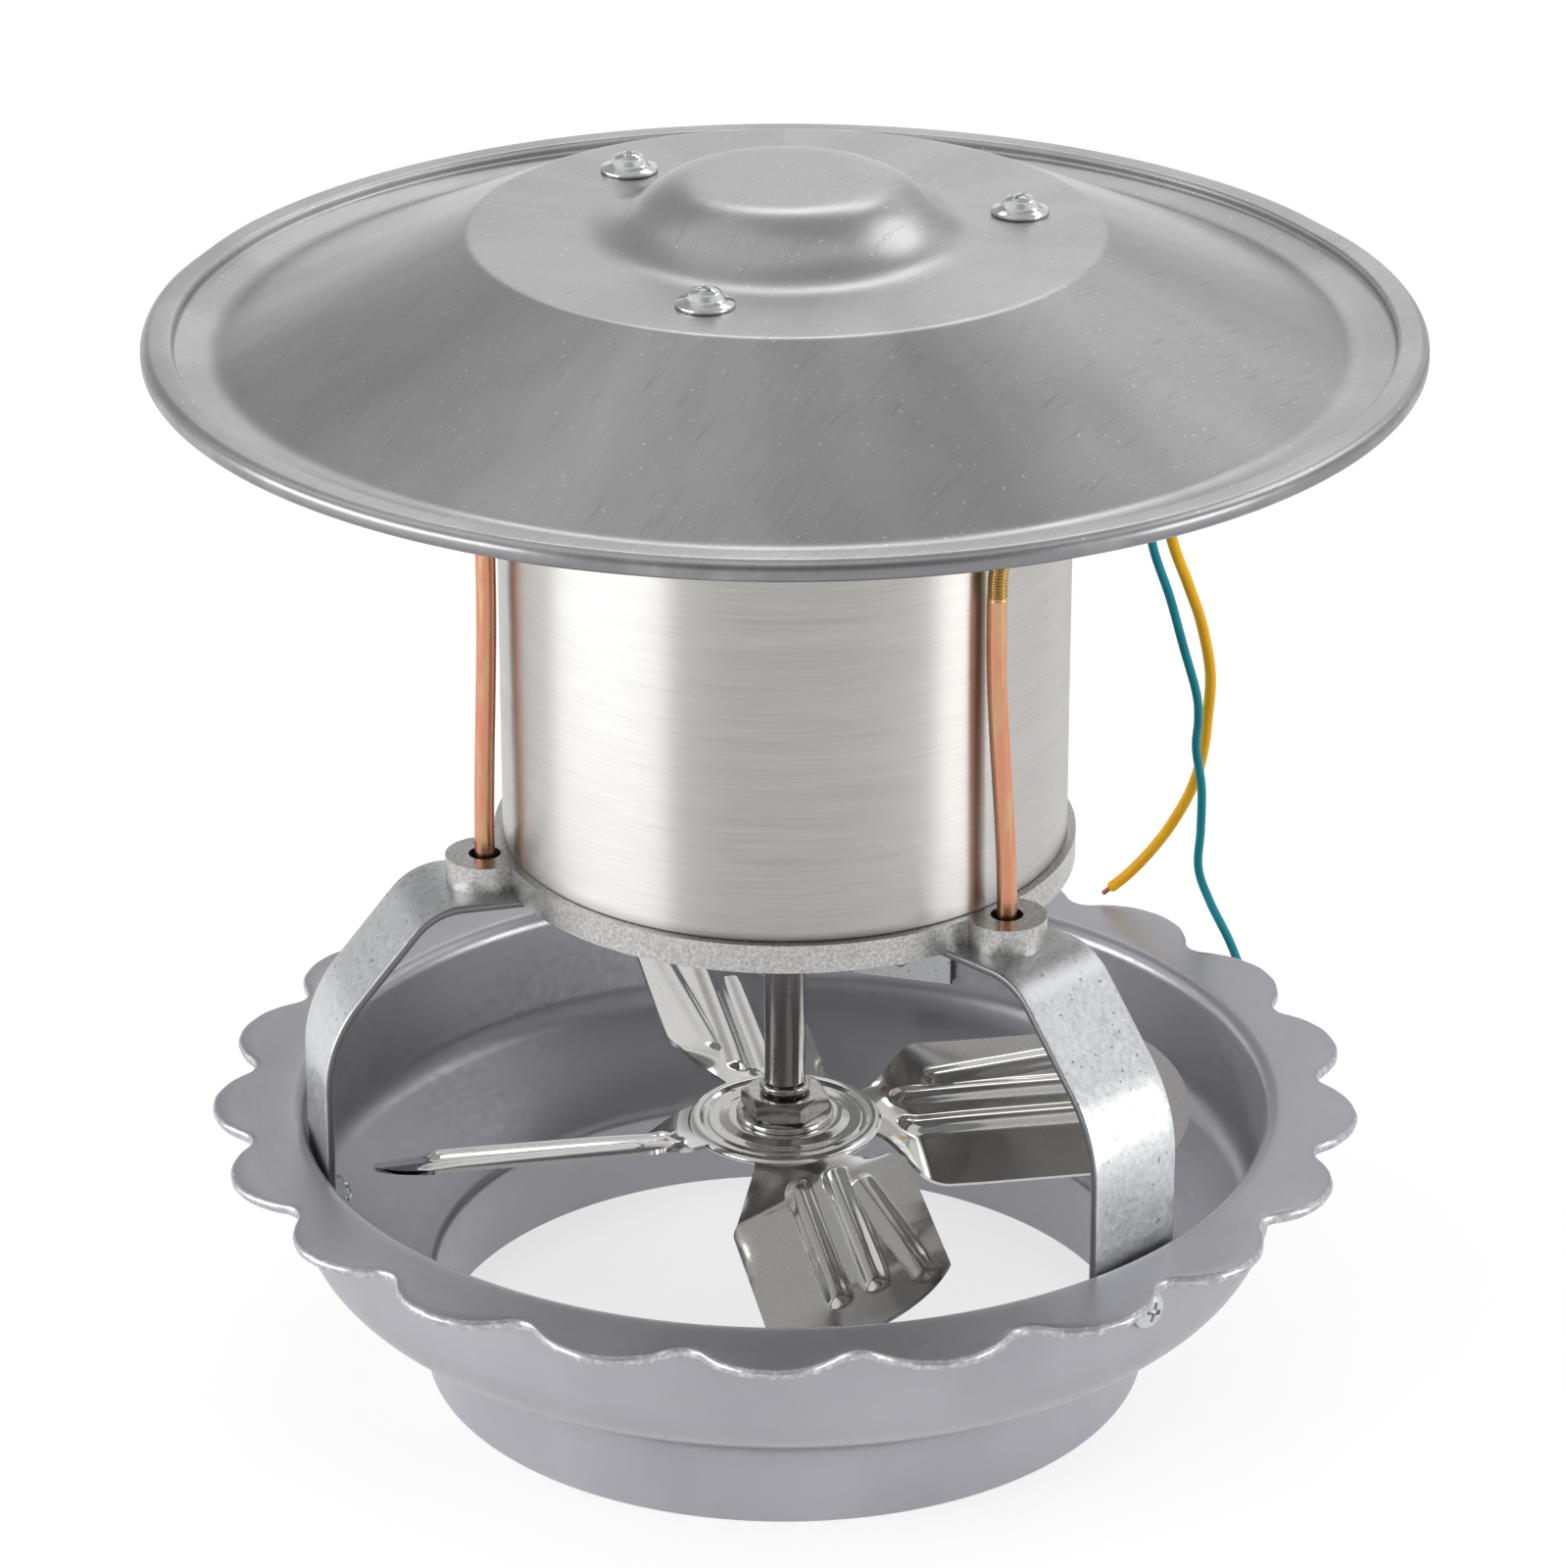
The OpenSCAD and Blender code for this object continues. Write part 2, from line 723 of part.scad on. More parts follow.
module impeller() {
    hub_path = round_path([
        [shaft_r + fit / 2, hub_z, 0],
        [hub_flat_r, hub_z, 2],
        [hub_flat_r + 2, hub_z - hub_step, 2],
        [hub_r, hub_z - hub_step, 0],
    ]);
    color("lightgray") {
        rotate_extrude() polygon(sheet_outline(hub_path, rim_t));
        for (i = [0:blade_count - 1]) {
            rotate([0, 0, blade_phase + 360 * i / blade_count]) translate([0, 0, rim_mid_z]) blade();
        }
    }
}

module hub_washers() {
    low = hub_z - rim_t - washer_t;
    color("silver") {
        tube(washer_r, shaft_r + fit / 2, hub_z, hub_z + washer_t);
        tube(washer_r, shaft_r + fit / 2, low, low + washer_t);
    }
}

module hub_nuts() {
    top = hub_z + washer_t;
    low = hub_z - rim_t - washer_t - hub_nut_h;
    color("silver") rotate([0, 0, hub_nut_turn]) {
        hex_nut(hub_nut_af, shaft_r + fit / 2, top, top + hub_nut_h);
        hex_nut(hub_nut_af, shaft_r + fit / 2, low, low + hub_nut_h);
    }
}

// Rubber grommet that the leads leave the motor through
module lead_grommet() {
    low = can_top + web_z;
    high = low + web_t;
    color("black") rotate([0, 0, grommet_angle]) translate([grommet_circle_r, 0, 0]) {
        translate([0, 0, low - grommet_low_lip])
            cylinder(r = grommet_r + grommet_lip, h = grommet_low_lip);
        translate([0, 0, low]) cylinder(r = grommet_r, h = web_t);
        translate([0, 0, high]) cylinder(r = grommet_r + grommet_lip, h = grommet_top_lip);
    }
}

function curve_point(a, b, c, d, t) =
    0.5 * (2 * b + (c - a) * t + (2 * a - 5 * b + 4 * c - d) * t * t + (3 * b - a - 3 * c + d) * t * t * t);

// Curve through the route's points, with extra points between each two
function smooth_route(points, steps) =
    let (last = len(points) - 1)
    concat([for (i = [0:last - 1], k = [0:steps - 1])
                curve_point(points[max(i - 1, 0)], points[i], points[i + 1], points[min(i + 2, last)], k / steps)],
           [points[last]]);

function route_direction(path, i) =
    (i == 0) ? [0, 0, 1] : unit(path[min(i + 1, len(path) - 1)] - path[i - 1]);

// Sideways directions that turn as little as they can along the path
function route_sides(path) =
    [for (i = 0, side = [1, 0, 0];
          i < len(path);
          i = i + 1,
          side = (i < len(path)) ? unit(side - (side * route_direction(path, i)) * route_direction(path, i)) : side)
        side];

// Round lead along a route, as rings of eight points
module lead(route, d, steps) {
    sides = 8;
    path = smooth_route(route, steps);
    across = route_sides(path);
    last = len(path) - 1;
    points = [for (i = [0:last])
        let (other = cross(route_direction(path, i), across[i]))
        each [for (k = [0:sides - 1])
            path[i] + d / 2 * (cos(360 * k / sides) * across[i] + sin(360 * k / sides) * other)]];
    walls = [for (i = [0:last - 1], k = [0:sides - 1])
        let (a = i * sides + k,
             b = i * sides + (k + 1) % sides)
        each [[a, b + sides, b], [a, a + sides, b + sides]]];
    ends = [[for (k = [0:sides - 1]) k], [for (k = [sides - 1:-1:0]) last * sides + k]];
    polyhedron(points = points, faces = concat(walls, ends));
}

module lead_yellow() {
    color("gold") lead(yellow_route, yellow_d, 1);
}

module lead_teal() {
    color("darkcyan") lead(teal_route, teal_d, 2);
}

base_bowl();
strap_left();
strap_right();
strap_rear();
strap_screws();
strap_nuts();
lower_bell();
motor_can();
upper_bell();
tie_rods();
tie_rod_nuts();
cap_posts();
cap_cover();
cap_screws();
stator_core();
stator_windings();
bearing_outer_races();
bearing_inner_races();
bearing_balls();
motor_shaft();
rotor_core();
shaft_keeper();
impeller();
hub_washers();
hub_nuts();
lead_grommet();
lead_yellow();
lead_teal();
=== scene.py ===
# Chimney fan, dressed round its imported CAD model. Shapes are worked out in millimetres and
# become metres when they go into a mesh. Z is the shaft's axis.
import math
import bpy
import bmesh
import numpy as np
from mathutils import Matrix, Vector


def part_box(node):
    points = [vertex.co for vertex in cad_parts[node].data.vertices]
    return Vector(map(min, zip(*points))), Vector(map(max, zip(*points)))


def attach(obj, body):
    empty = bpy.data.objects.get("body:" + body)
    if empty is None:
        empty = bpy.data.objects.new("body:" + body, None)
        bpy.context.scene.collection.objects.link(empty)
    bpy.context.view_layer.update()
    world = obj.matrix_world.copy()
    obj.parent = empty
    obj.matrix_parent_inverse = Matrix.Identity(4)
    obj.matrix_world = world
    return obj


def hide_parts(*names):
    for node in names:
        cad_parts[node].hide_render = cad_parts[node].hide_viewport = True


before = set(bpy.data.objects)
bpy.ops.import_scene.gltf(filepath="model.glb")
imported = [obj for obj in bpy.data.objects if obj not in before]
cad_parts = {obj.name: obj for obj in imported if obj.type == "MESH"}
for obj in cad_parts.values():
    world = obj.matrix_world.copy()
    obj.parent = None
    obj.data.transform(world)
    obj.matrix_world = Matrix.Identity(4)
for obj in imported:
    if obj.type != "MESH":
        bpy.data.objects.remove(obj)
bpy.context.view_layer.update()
mm = 0.001
weld = 2e-7  # points of a mesh that are nearer than this, in metres, become one
scene = bpy.context.scene
scene.view_settings.view_transform = "Standard"

shot = {  # the view that the ellipses of the rims fit
    "place": (-0.00045, -1.36637, 0.76396),
    "tilt": math.radians(65.885),
    "sensor": 36.0,
    "lens": 142.53,
}


def makeCamera():
    lens = bpy.data.cameras.new("camera")
    lens.sensor_width = shot["sensor"]
    lens.lens = shot["lens"]
    lens.clip_start = 0.05
    camera = bpy.data.objects.new("camera", lens)
    camera.location = shot["place"]
    camera.rotation_euler = (shot["tilt"], 0, 0)
    scene.collection.objects.link(camera)
    scene.camera = camera


makeCamera()
print("camera placed")


# Number helpers: every shape below is an array of points (..., 3) or of profile points (n, 2)

def ease(x):  # 0 below 0, 1 above 1, and a smooth S between
    t = np.clip(x, 0, 1)
    return t * t * (3 - 2 * t)


def ramp(x, start, span):  # the same S, from 0 at start to 1 a span further on
    return ease((x - start) / span)


def unit(v):
    return v / np.linalg.norm(v, axis=-1, keepdims=True)


def fullTurn(steps):
    return np.linspace(0, 2 * math.pi, steps, endpoint=False)


def turned(points, degrees):  # about the Z axis
    c, s = math.cos(math.radians(degrees)), math.sin(math.radians(degrees))
    x, y, z = np.moveaxis(points, -1, 0)
    return np.stack([x * c - y * s, x * s + y * c, z], -1)


def onCircle(radius, degrees, height=0.0):
    angle = math.radians(degrees)
    return np.array([radius * math.cos(angle), radius * math.sin(angle), height])


def swell(waves, direction, distance):
    # Sum of sines: each goes round the axis so many times, slants by a radian for so many
    # millimetres of distance, and has a start and a share
    return sum(share * np.sin(times * direction + distance / slant + start)
               for times, slant, start, share in waves)


def standing(points, origin, axis):
    # The local Z goes along a level axis, and the local X stays level
    up = unit(axis)
    side = unit(np.cross([0, 0, 1.0], up))
    return points @ np.array([side, np.cross(up, side), up]) + origin


def roundPath(corners, bends, steps=8):
    # Path through the (x, y) corners: each with a bend becomes an arc of that radius, or of the
    # largest that takes just under half of both sides, tangent to them
    made = []
    corners = np.array(corners, float)
    for i, radius in enumerate(bends):
        b = corners[i]
        if not radius:
            made.append(b[None])
            continue
        before, after = corners[i - 1] - b, corners[i + 1] - b
        u, v = unit(before), unit(after)
        half = math.acos(u @ v) / 2
        r = min(radius, 0.49 * min(np.linalg.norm(before), np.linalg.norm(after)) * math.tan(half))
        centre = b + unit(u + v) * r / math.sin(half)
        p, q = (b + w * r / math.tan(half) - centre for w in (u, v))
        turn = math.atan2(p[0] * q[1] - p[1] * q[0], p @ q)
        angle = math.atan2(p[1], p[0]) + turn * np.linspace(0, 1, steps + 1)
        made.append(centre + r * np.stack([np.cos(angle), np.sin(angle)], -1))
    return np.concatenate(made)


def spaced(path, step):
    # The same path with extra points, so that none lie more than a step apart
    gaps = np.linalg.norm(np.diff(path, axis=0), axis=1)
    parts = [np.linspace(a, b, max(1, math.ceil(g / step)), endpoint=False)
             for a, b, g in zip(path[:-1], path[1:], gaps)]
    return np.concatenate(parts + [path[-1:]])


def moved(path, t):
    # A flat path moved to its right by t, along the mean normal of each two sides
    run = unit(np.diff(path, axis=0))
    before, after = np.vstack([run[:1], run]), np.vstack([run, run[-1:]])
    right = np.stack([before[:, 1], -before[:, 0]], -1)
    mitre = unit(right + np.stack([after[:, 1], -after[:, 0]], -1))
    return path + mitre * (t / (mitre * right).sum(1))[:, None]


def edgeArc(a, b, steps=6):
    # Half circle from a to b, bulging to the left of the line between them
    centre, half = (a + b) / 2, (a - b) / 2
    side = np.array([(a - b)[1], (b - a)[0]]) / 2
    angle = np.linspace(0, math.pi, steps + 1)[1:-1, None]
    return centre + half * np.cos(angle) + side * np.sin(angle)


def sheetLoop(path, t, roundStart=True):
    # Closed outline of a sheet to the right of a path, with half-round edges
    under = moved(path, t)
    start = [edgeArc(under[0], path[0])] if roundStart else []
    return np.concatenate([path, edgeArc(path[-1], under[-1]), under[::-1]] + start)


def revolve(profile, segments):
    # Points (radius, height) carried round the axis: one row of the grid for each direction
    angle = fullTurn(segments)[:, None]
    r, z = profile[:, 0], profile[:, 1]
    return np.stack([r * np.cos(angle), r * np.sin(angle), z + 0 * angle], -1)


def gridFaces(rows, columns, wrapRows, wrapColumns):
    # Four corners of every cell, with the last row or column joined to the first where it wraps
    i = np.arange(rows if wrapRows else rows - 1)[:, None]
    j = np.arange(columns if wrapColumns else columns - 1)[None]
    up, right = (i + 1) % rows, (j + 1) % columns
    quads = [i * columns + j, up * columns + j, up * columns + right, i * columns + right]
    return np.stack([q + 0 * (i + j) for q in quads], -1).reshape(-1, 4)


class Shell:
    # Grids gathered into one mesh, with named numbers on their points
    def __init__(self):
        self.points, self.faces, self.marks, self.count = [], [], {}, 0

    def grid(self, points, wrapRows=True, wrapColumns=True, caps=False, **marks):
        rows, columns = points.shape[:2]
        self.faces += (gridFaces(rows, columns, wrapRows, wrapColumns) + self.count).tolist()
        if caps:
            first = np.arange(columns) + self.count
            self.faces += [first.tolist(), (first[::-1] + (rows - 1) * columns).tolist()]
        self.points.append(points.reshape(-1, 3))
        for name, value in marks.items():
            spread = np.broadcast_to(value, (rows, columns)).reshape(-1)
            self.marks.setdefault(name, []).append((self.count, spread))
        self.count += rows * columns
        return self

    def place(self, name, body, finish, node, slot, sharp=35):
        # The piece takes the place of that CAD node, smooth but for edges over sharp degrees
        mesh = bpy.data.meshes.new(name)
        mesh.from_pydata((np.concatenate(self.points) * mm).tolist(), [], self.faces)
        for mark, parts in self.marks.items():
            values = np.zeros(self.count, np.float32)
            for start, spread in parts:
                values[start:start + len(spread)] = spread
            mesh.attributes.new(mark, "FLOAT", "POINT").data.foreach_set("value", values)
        work = bmesh.new()
        work.from_mesh(mesh)
        bmesh.ops.remove_doubles(work, verts=work.verts, dist=weld)
        bmesh.ops.recalc_face_normals(work, faces=work.faces)
        work.to_mesh(mesh)
        work.free()
        mesh.shade_smooth()
        mesh.set_sharp_from_angle(angle=math.radians(sharp))
        mesh.materials.append(finishes[finish])
        piece = bpy.data.objects.new(name, mesh)
        scene.collection.objects.link(piece)
        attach(piece, body)
        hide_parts(node)
        return piece


# Materials

def linear(text):  # sRGB hex to linear colour
    parts = [int(text[i:i + 2], 16) / 255 for i in (1, 3, 5)]
    return [p / 12.92 if p <= 0.04045 else ((p + 0.055) / 1.055) ** 2.4 for p in parts] + [1]


def perMm(size):  # pattern scale for a feature of that size in millimetres
    return 1 / (size * mm)


def sized(point, size, **others):  # a pattern's inputs for such a feature
    return {"Vector": point, "Scale": perMm(size), **others}


inColour = {"output": 2, "data_type": "RGBA"}  # makes a Mix node blend colours


def nodeAdder(tree):
    # Gives the one function that adds nodes to that tree, with inputs set or linked
    def add(kind, inputs=(), output=0, **settings):
        node = tree.nodes.new("ShaderNode" + kind)
        for name, value in settings.items():
            setattr(node, name, value)
        for name, value in dict(inputs).items():
            if isinstance(value, bpy.types.NodeSocket):
                tree.links.new(value, node.inputs[name])
            else:
                node.inputs[name].default_value = value
        return node.outputs[output] if len(node.outputs) else node
    return add


def newMaterial(name):
    material = bpy.data.materials.new(name)
    material.use_nodes = True
    material.node_tree.nodes.clear()
    add = nodeAdder(material.node_tree)
    return material, add, add("TexCoord", output=3)


def finishMaterial(material, colour, rough, *bumps, metallic=1.0, others=()):
    # rough is a number, or a noise with the roughness where it is low and where it is high. Each
    # bump is a height, a strength and a distance, and lies on the one before it.
    add = nodeAdder(material.node_tree)
    if isinstance(rough, tuple):
        noise, low, high = rough
        rough = add("MapRange", {0: noise, 1: 0.3, 2: 0.7, 3: low, 4: high})
    inputs = {"Base Color": colour, "Metallic": metallic, "Roughness": rough, **dict(others)}
    below = {}
    for height, strength, distance in bumps:
        bump = {"Height": height, "Strength": strength, "Distance": distance, **below}
        below = {"Normal": add("Bump", bump)}
    add("OutputMaterial", {"Surface": add("BsdfPrincipled", {**inputs, **below})})
    return material


def twoTones(add, noise, low, high, dark, light):
    # From dark to light while the noise goes from low to high
    share = add("MapRange", {0: noise, 1: low, 2: high})
    return add("Mix", {0: share, 6: linear(dark), 7: linear(light)}, **inColour)


def covered(add, base, *covers):
    # Colours laid over the base one after another, each where its share is high
    for share, colour in covers:
        base = add("Mix", {0: share, 6: base, 7: linear(colour)}, **inColour)
    return base


def aroundAxis(add, point, arcSize, radialSize, heightSize):
    # Position as (arc length at 100 mm radius, radius, height), each over a feature size in mm,
    # so that noise of it makes streaks round the axis or along the radius. The seam is at the back.
    parts = [add("SeparateXYZ", {0: point}, output=k) for k in range(3)]
    back = add("Math", {0: parts[1], 1: -1.0}, operation="MULTIPLY")
    angle = add("Math", {0: parts[0], 1: back}, operation="ARCTAN2")
    flat = add("CombineXYZ", {0: parts[0], 1: parts[1]})
    radius = add("VectorMath", {0: flat}, output=1, operation="LENGTH")
    made = add("CombineXYZ", {0: angle, 1: radius, 2: parts[2]})
    scale = (0.1 * perMm(arcSize), perMm(radialSize), perMm(heightSize))
    return add("VectorMath", {0: made, 1: scale}, operation="MULTIPLY")


def brushedCapAluminium():
    # Aluminium sheet, pressed and tumbled: broad soft reflections, a faint drift of tone round
    # the axis, fine slanting scratches, small bright pits, and painted shade on the roll's outer wall, a
    # darker grey standing in for a dimmer reflection there
    material, add, point = newMaterial("brushedCapAluminium")
    around = aroundAxis(add, point, 26, 90, 90)
    drift = add("TexNoise", {"Vector": around, "Scale": 1.0, "Detail": 2.0})
    level = add("VectorMath", {0: point, 1: (1, 1, 0)}, operation="MULTIPLY")
    radius = add("VectorMath", {0: level}, output=1, operation="LENGTH")
    away = add("MapRange", {0: radius, 1: 0.03, 2: 0.08})  # near the axis the tone stays even
    share = add("MapRange", {0: drift, 1: 0.35, 2: 0.65})
    tone = add("Mix", {0: away, 2: 0.5, 3: share})
    base = add("Mix", {0: tone, 6: linear("#B3B2B3"), 7: linear("#C2C1C1")}, **inColour)
    slant = add("VectorRotate", {"Vector": point, "Axis": (0, 0, 1), "Angle": 0.6})
    grid = (perMm(0.7), perMm(14), perMm(14))
    long = add("VectorMath", {0: slant, 1: grid}, operation="MULTIPLY")
    scratch = add("TexNoise", {"Vector": long, "Scale": 1.0, "Detail": 2.0, "Roughness": 0.6})
    fine = add("MapRange", {0: scratch, 1: 0.58, 2: 0.8, 4: 0.5})
    pits = add("TexNoise", sized(point, 1.1, Detail=1.0))
    pit = add("MapRange", {0: pits, 1: 0.71, 2: 0.76})
    cloud = add("TexNoise", sized(point, 38, Detail=4.0, Roughness=0.6))
    # painted shade: the roll's outer wall, marked in makeCap, gets a darker grey in cloudy patches, standing
    # in for a dimmer reflection there
    rollShadeMark = add("Attribute", output=2, attribute_name="dull")
    dulled = add("Math", {0: rollShadeMark, 1: cloud}, operation="MULTIPLY")
    rollShadeShare = add("MapRange", {0: dulled, 1: 0.1, 2: 0.5, 4: 0.9})
    colour = covered(add, base, (fine, "#8E8E90"), (pit, "#DEDEDF"), (rollShadeShare, "#7A797B"))
    return finishMaterial(material, colour, (cloud, 0.26, 0.36), (cloud, 0.3, 0.0004),
                          (scratch, 0.2, 0.00003))


def brushedCanStainless():
    # Stainless tube, brushed as it turned: level lines that smear each reflection up and down
    # but keep it sharp from side to side
    material, add, point = newMaterial("brushedCanStainless")
    fine, wide = aroundAxis(add, point, 30, 40, 0.35), aroundAxis(add, point, 90, 90, 5)
    lines = add("TexNoise", {"Vector": fine, "Scale": 1.0, "Detail": 3.0, "Roughness": 0.6})
    broad = add("TexNoise", {"Vector": wide, "Scale": 1.0, "Detail": 3.0, "Roughness": 0.6})
    base = twoTones(add, lines, 0.3, 0.7, "#B8B6B3", "#C5C3C0")
    return finishMaterial(material, base, (broad, 0.34, 0.39), (lines, 0.1, 0.00003),
                          others={"Anisotropic": 0.9, "Anisotropic Rotation": 0.25})


def sandCastAluminium():
    # Aluminium cast in sand and wire-brushed: bright silver with a soft grain, and darker pits
    # that gather in patches
    material, add, point = newMaterial("sandCastAluminium")
    grain = add("TexNoise", sized(point, 0.8, Detail=4.0, Roughness=0.6))
    patch = add("TexNoise", sized(point, 7, Detail=3.0))
    base = twoTones(add, grain, 0.35, 0.65, "#9C9B9A", "#C4C3C1")
    hollow = add("Math", {0: grain, 1: patch}, operation="ADD")
    pit = add("MapRange", {0: hollow, 1: 0.7, 2: 0.6, 4: 0.8})
    dark = covered(add, base, (pit, "#6A6968"))
    return finishMaterial(material, dark, (patch, 0.26, 0.4), (grain, 0.3, 0.00013))


def millRolledAluminium():
    # Aluminium strip as it left the mill: pale, soft, with scattered dark specks and rub marks,
    # and painted shade on its narrow sides, a darker grey standing in for the shadow along the strip's
    # thickness
    material, add, point = newMaterial("millRolledAluminium")
    grain = add("TexNoise", sized(point, 1.6, Detail=5.0, Roughness=0.7))
    speck = add("TexNoise", sized(point, 1.4, Detail=2.0))
    specks = add("MapRange", {0: speck, 1: 0.66, 2: 0.74, 4: 0.75})
    smear = add("TexNoise", sized(point, 9, Detail=4.0, Roughness=0.75))
    smears = add("MapRange", {0: smear, 1: 0.62, 2: 0.78, 4: 0.6})
    base = twoTones(add, grain, 0.3, 0.7, "#B8B9BB", "#D6D7D8")
    # painted shade: the narrow sides marked in makeStrap get a darker grey, standing in for their shadow
    cut = add("Attribute", output=2, attribute_name="cut")
    colour = covered(add, base, (smears, "#7C7C7E"), (specks, "#565657"), (cut, "#7E7E80"))
    return finishMaterial(material, colour, (grain, 0.3, 0.44), (grain, 0.35, 0.00008))


def sprayedGreyCasting():
    # Cast bowl with a thin satin coat of blue-grey paint: the coat is worn off the flange's
    # edge, where the bright casting shows in a broken line
    material, add, point = newMaterial("sprayedGreyCasting")
    around = aroundAxis(add, point, 90, 5, 5)
    peel = add("TexNoise", sized(point, 2.2, Detail=3.0))
    cloud = add("TexNoise", sized(point, 45, Detail=3.0))
    rings = add("TexNoise", {"Vector": around, "Scale": 1.0, "Detail": 2.0})
    chips = add("TexNoise", sized(point, 1.8, Detail=5.0, Roughness=0.8))
    edge = add("Attribute", output=2, attribute_name="edge")
    bare = add("Math", {0: edge, 1: chips}, operation="MULTIPLY")
    wear = add("MapRange", {0: bare, 1: 0.47, 2: 0.62, 4: 0.85})
    base = covered(add, twoTones(add, cloud, 0.3, 0.7, "#A4A4AA", "#B0B0B6"), (wear, "#D6D6D9"))
    metal = add("MapRange", {0: wear, 3: 0.72, 4: 0.95})
    return finishMaterial(material, base, (peel, 0.3, 0.4), (rings, 0.35, 0.0003),
                          (chips, 0.25, 0.00015), metallic=metal)


def pressedStainless():
    # Bright stainless sheet, stamped: a mirror with fine hairlines and slow waves
    material, add, point = newMaterial("pressedStainless")
    wave = add("TexNoise", sized(point, 16, Detail=1.0))
    hair = add("TexNoise", sized(point, 0.7, Detail=4.0, Roughness=0.7))
    base = twoTones(add, hair, 0.3, 0.7, "#CBCAC7", "#D9D8D6")
    return finishMaterial(material, base, (hair, 0.06, 0.13), (wave, 0.5, 0.0004))


def platedMetal(name, dull, bright, low, high, grain):
    # Plated or ground metal: two near tones in small grains, with a roughness range
    material, add, point = newMaterial(name)
    noise = add("TexNoise", sized(point, grain, Detail=4.0, Roughness=0.7))
    base = twoTones(add, noise, 0.32, 0.68, dull, bright)
    return finishMaterial(material, base, (noise, low, high), (noise, 0.2, 0.00004))


def copperWashedRod():
    # Drawn steel rod with a thin wash of copper: pink, with yellow-green passivated patches
    # along it and a brassy rolled thread
    material, add, point = newMaterial("copperWashedRod")
    grid = (perMm(1.6), perMm(1.6), perMm(14))
    streak = add("VectorMath", {0: point, 1: grid}, operation="MULTIPLY")
    noise = add("TexNoise", {"Vector": streak, "Scale": 1.0, "Detail": 5.0, "Roughness": 0.65})
    shank = twoTones(add, noise, 0.47, 0.62, "#C98A70", "#C39F7A")
    thread = add("Attribute", output=2, attribute_name="thread")
    base = covered(add, shank, (thread, "#B59358"))
    return finishMaterial(material, base, (noise, 0.22, 0.38), (noise, 0.3, 0.00008))


def extrudedPvc(name, colour, shade):
    # Soft PVC sleeve with a dull sheen and a slight drift of tone; the bared end is copper
    material, add, point = newMaterial(name)
    noise = add("TexNoise", sized(point, 11, Detail=3.0))
    bare = add("Attribute", output=2, attribute_name="bare")
    base = covered(add, twoTones(add, noise, 0.3, 0.7, colour, shade), (bare, "#C07A52"))
    fine = add("TexNoise", sized(point, 0.8, Detail=2.0))
    return finishMaterial(material, base, (fine, 0.38, 0.5), (fine, 0.15, 0.00005),
                          metallic=bare, others={"Specular IOR Level": 0.3})


def mouldedRubber():
    # Black rubber, moulded: near matt, with a faint grain
    material, add, point = newMaterial("mouldedRubber")
    noise = add("TexNoise", sized(point, 0.7, Detail=3.0))
    base = add("Mix", {0: noise, 6: linear("#161616"), 7: linear("#2A2A2A")}, **inColour)
    return finishMaterial(material, base, 0.65, (noise, 0.3, 0.0001), metallic=0.0)


def layeredMaterial(name, dark, light, layer, metallic, rough):
    # Stacked laminations or wound wire: fine level lines of two tones
    material, add, point = newMaterial(name)
    around = aroundAxis(add, point, 60, layer, layer)
    lines = add("TexNoise", {"Vector": around, "Scale": 1.0, "Detail": 2.0})
    base = twoTones(add, lines, 0.4, 0.6, dark, light)
    return finishMaterial(material, base, rough, (lines, 0.4, 0.0001), metallic=metallic)


finishes = {
    "cap": brushedCapAluminium(),
    "can": brushedCanStainless(),
    "bell": sandCastAluminium(),
    "strap": millRolledAluminium(),
    "bowl": sprayedGreyCasting(),
    "impeller": pressedStainless(),
    "rod": copperWashedRod(),
    "zinc": platedMetal("brightZincPlate", "#B4B7B8", "#D0D2D2", 0.2, 0.34, 1.2),
    "yellowZinc": platedMetal("yellowZincPlate", "#A98B4E", "#C7AC6C", 0.25, 0.4, 1.0),
    "chrome": platedMetal("chromePlate", "#CFD0D1", "#E4E5E6", 0.05, 0.12, 1.5),
    "shaft": platedMetal("groundShaftSteel", "#A19E9A", "#B9B6B2", 0.12, 0.22, 0.6),
    "turned": platedMetal("turnedNutSteel", "#A8A7A4", "#CDCCCA", 0.08, 0.2, 2.2),
    "race": platedMetal("polishedRaceSteel", "#BFC2C6", "#D5D8DB", 0.08, 0.15, 1.0),
    "yellowLead": extrudedPvc("yellowPvc", "#FFC320", "#F8B517"),
    "tealLead": extrudedPvc("tealPvc", "#00909E", "#00808E"),
    "rubber": mouldedRubber(),
    "core": layeredMaterial("laminatedCoreSteel", "#4E5054", "#6D7075", 0.5, 0.8, 0.45),
    "winding": layeredMaterial("enamelledWindingCopper", "#7A3417", "#B5602F", 0.8, 0.6, 0.35),
}
print("materials made:", len(finishes))


# Leads: the routes of the CAD model's own leads, in millimetres

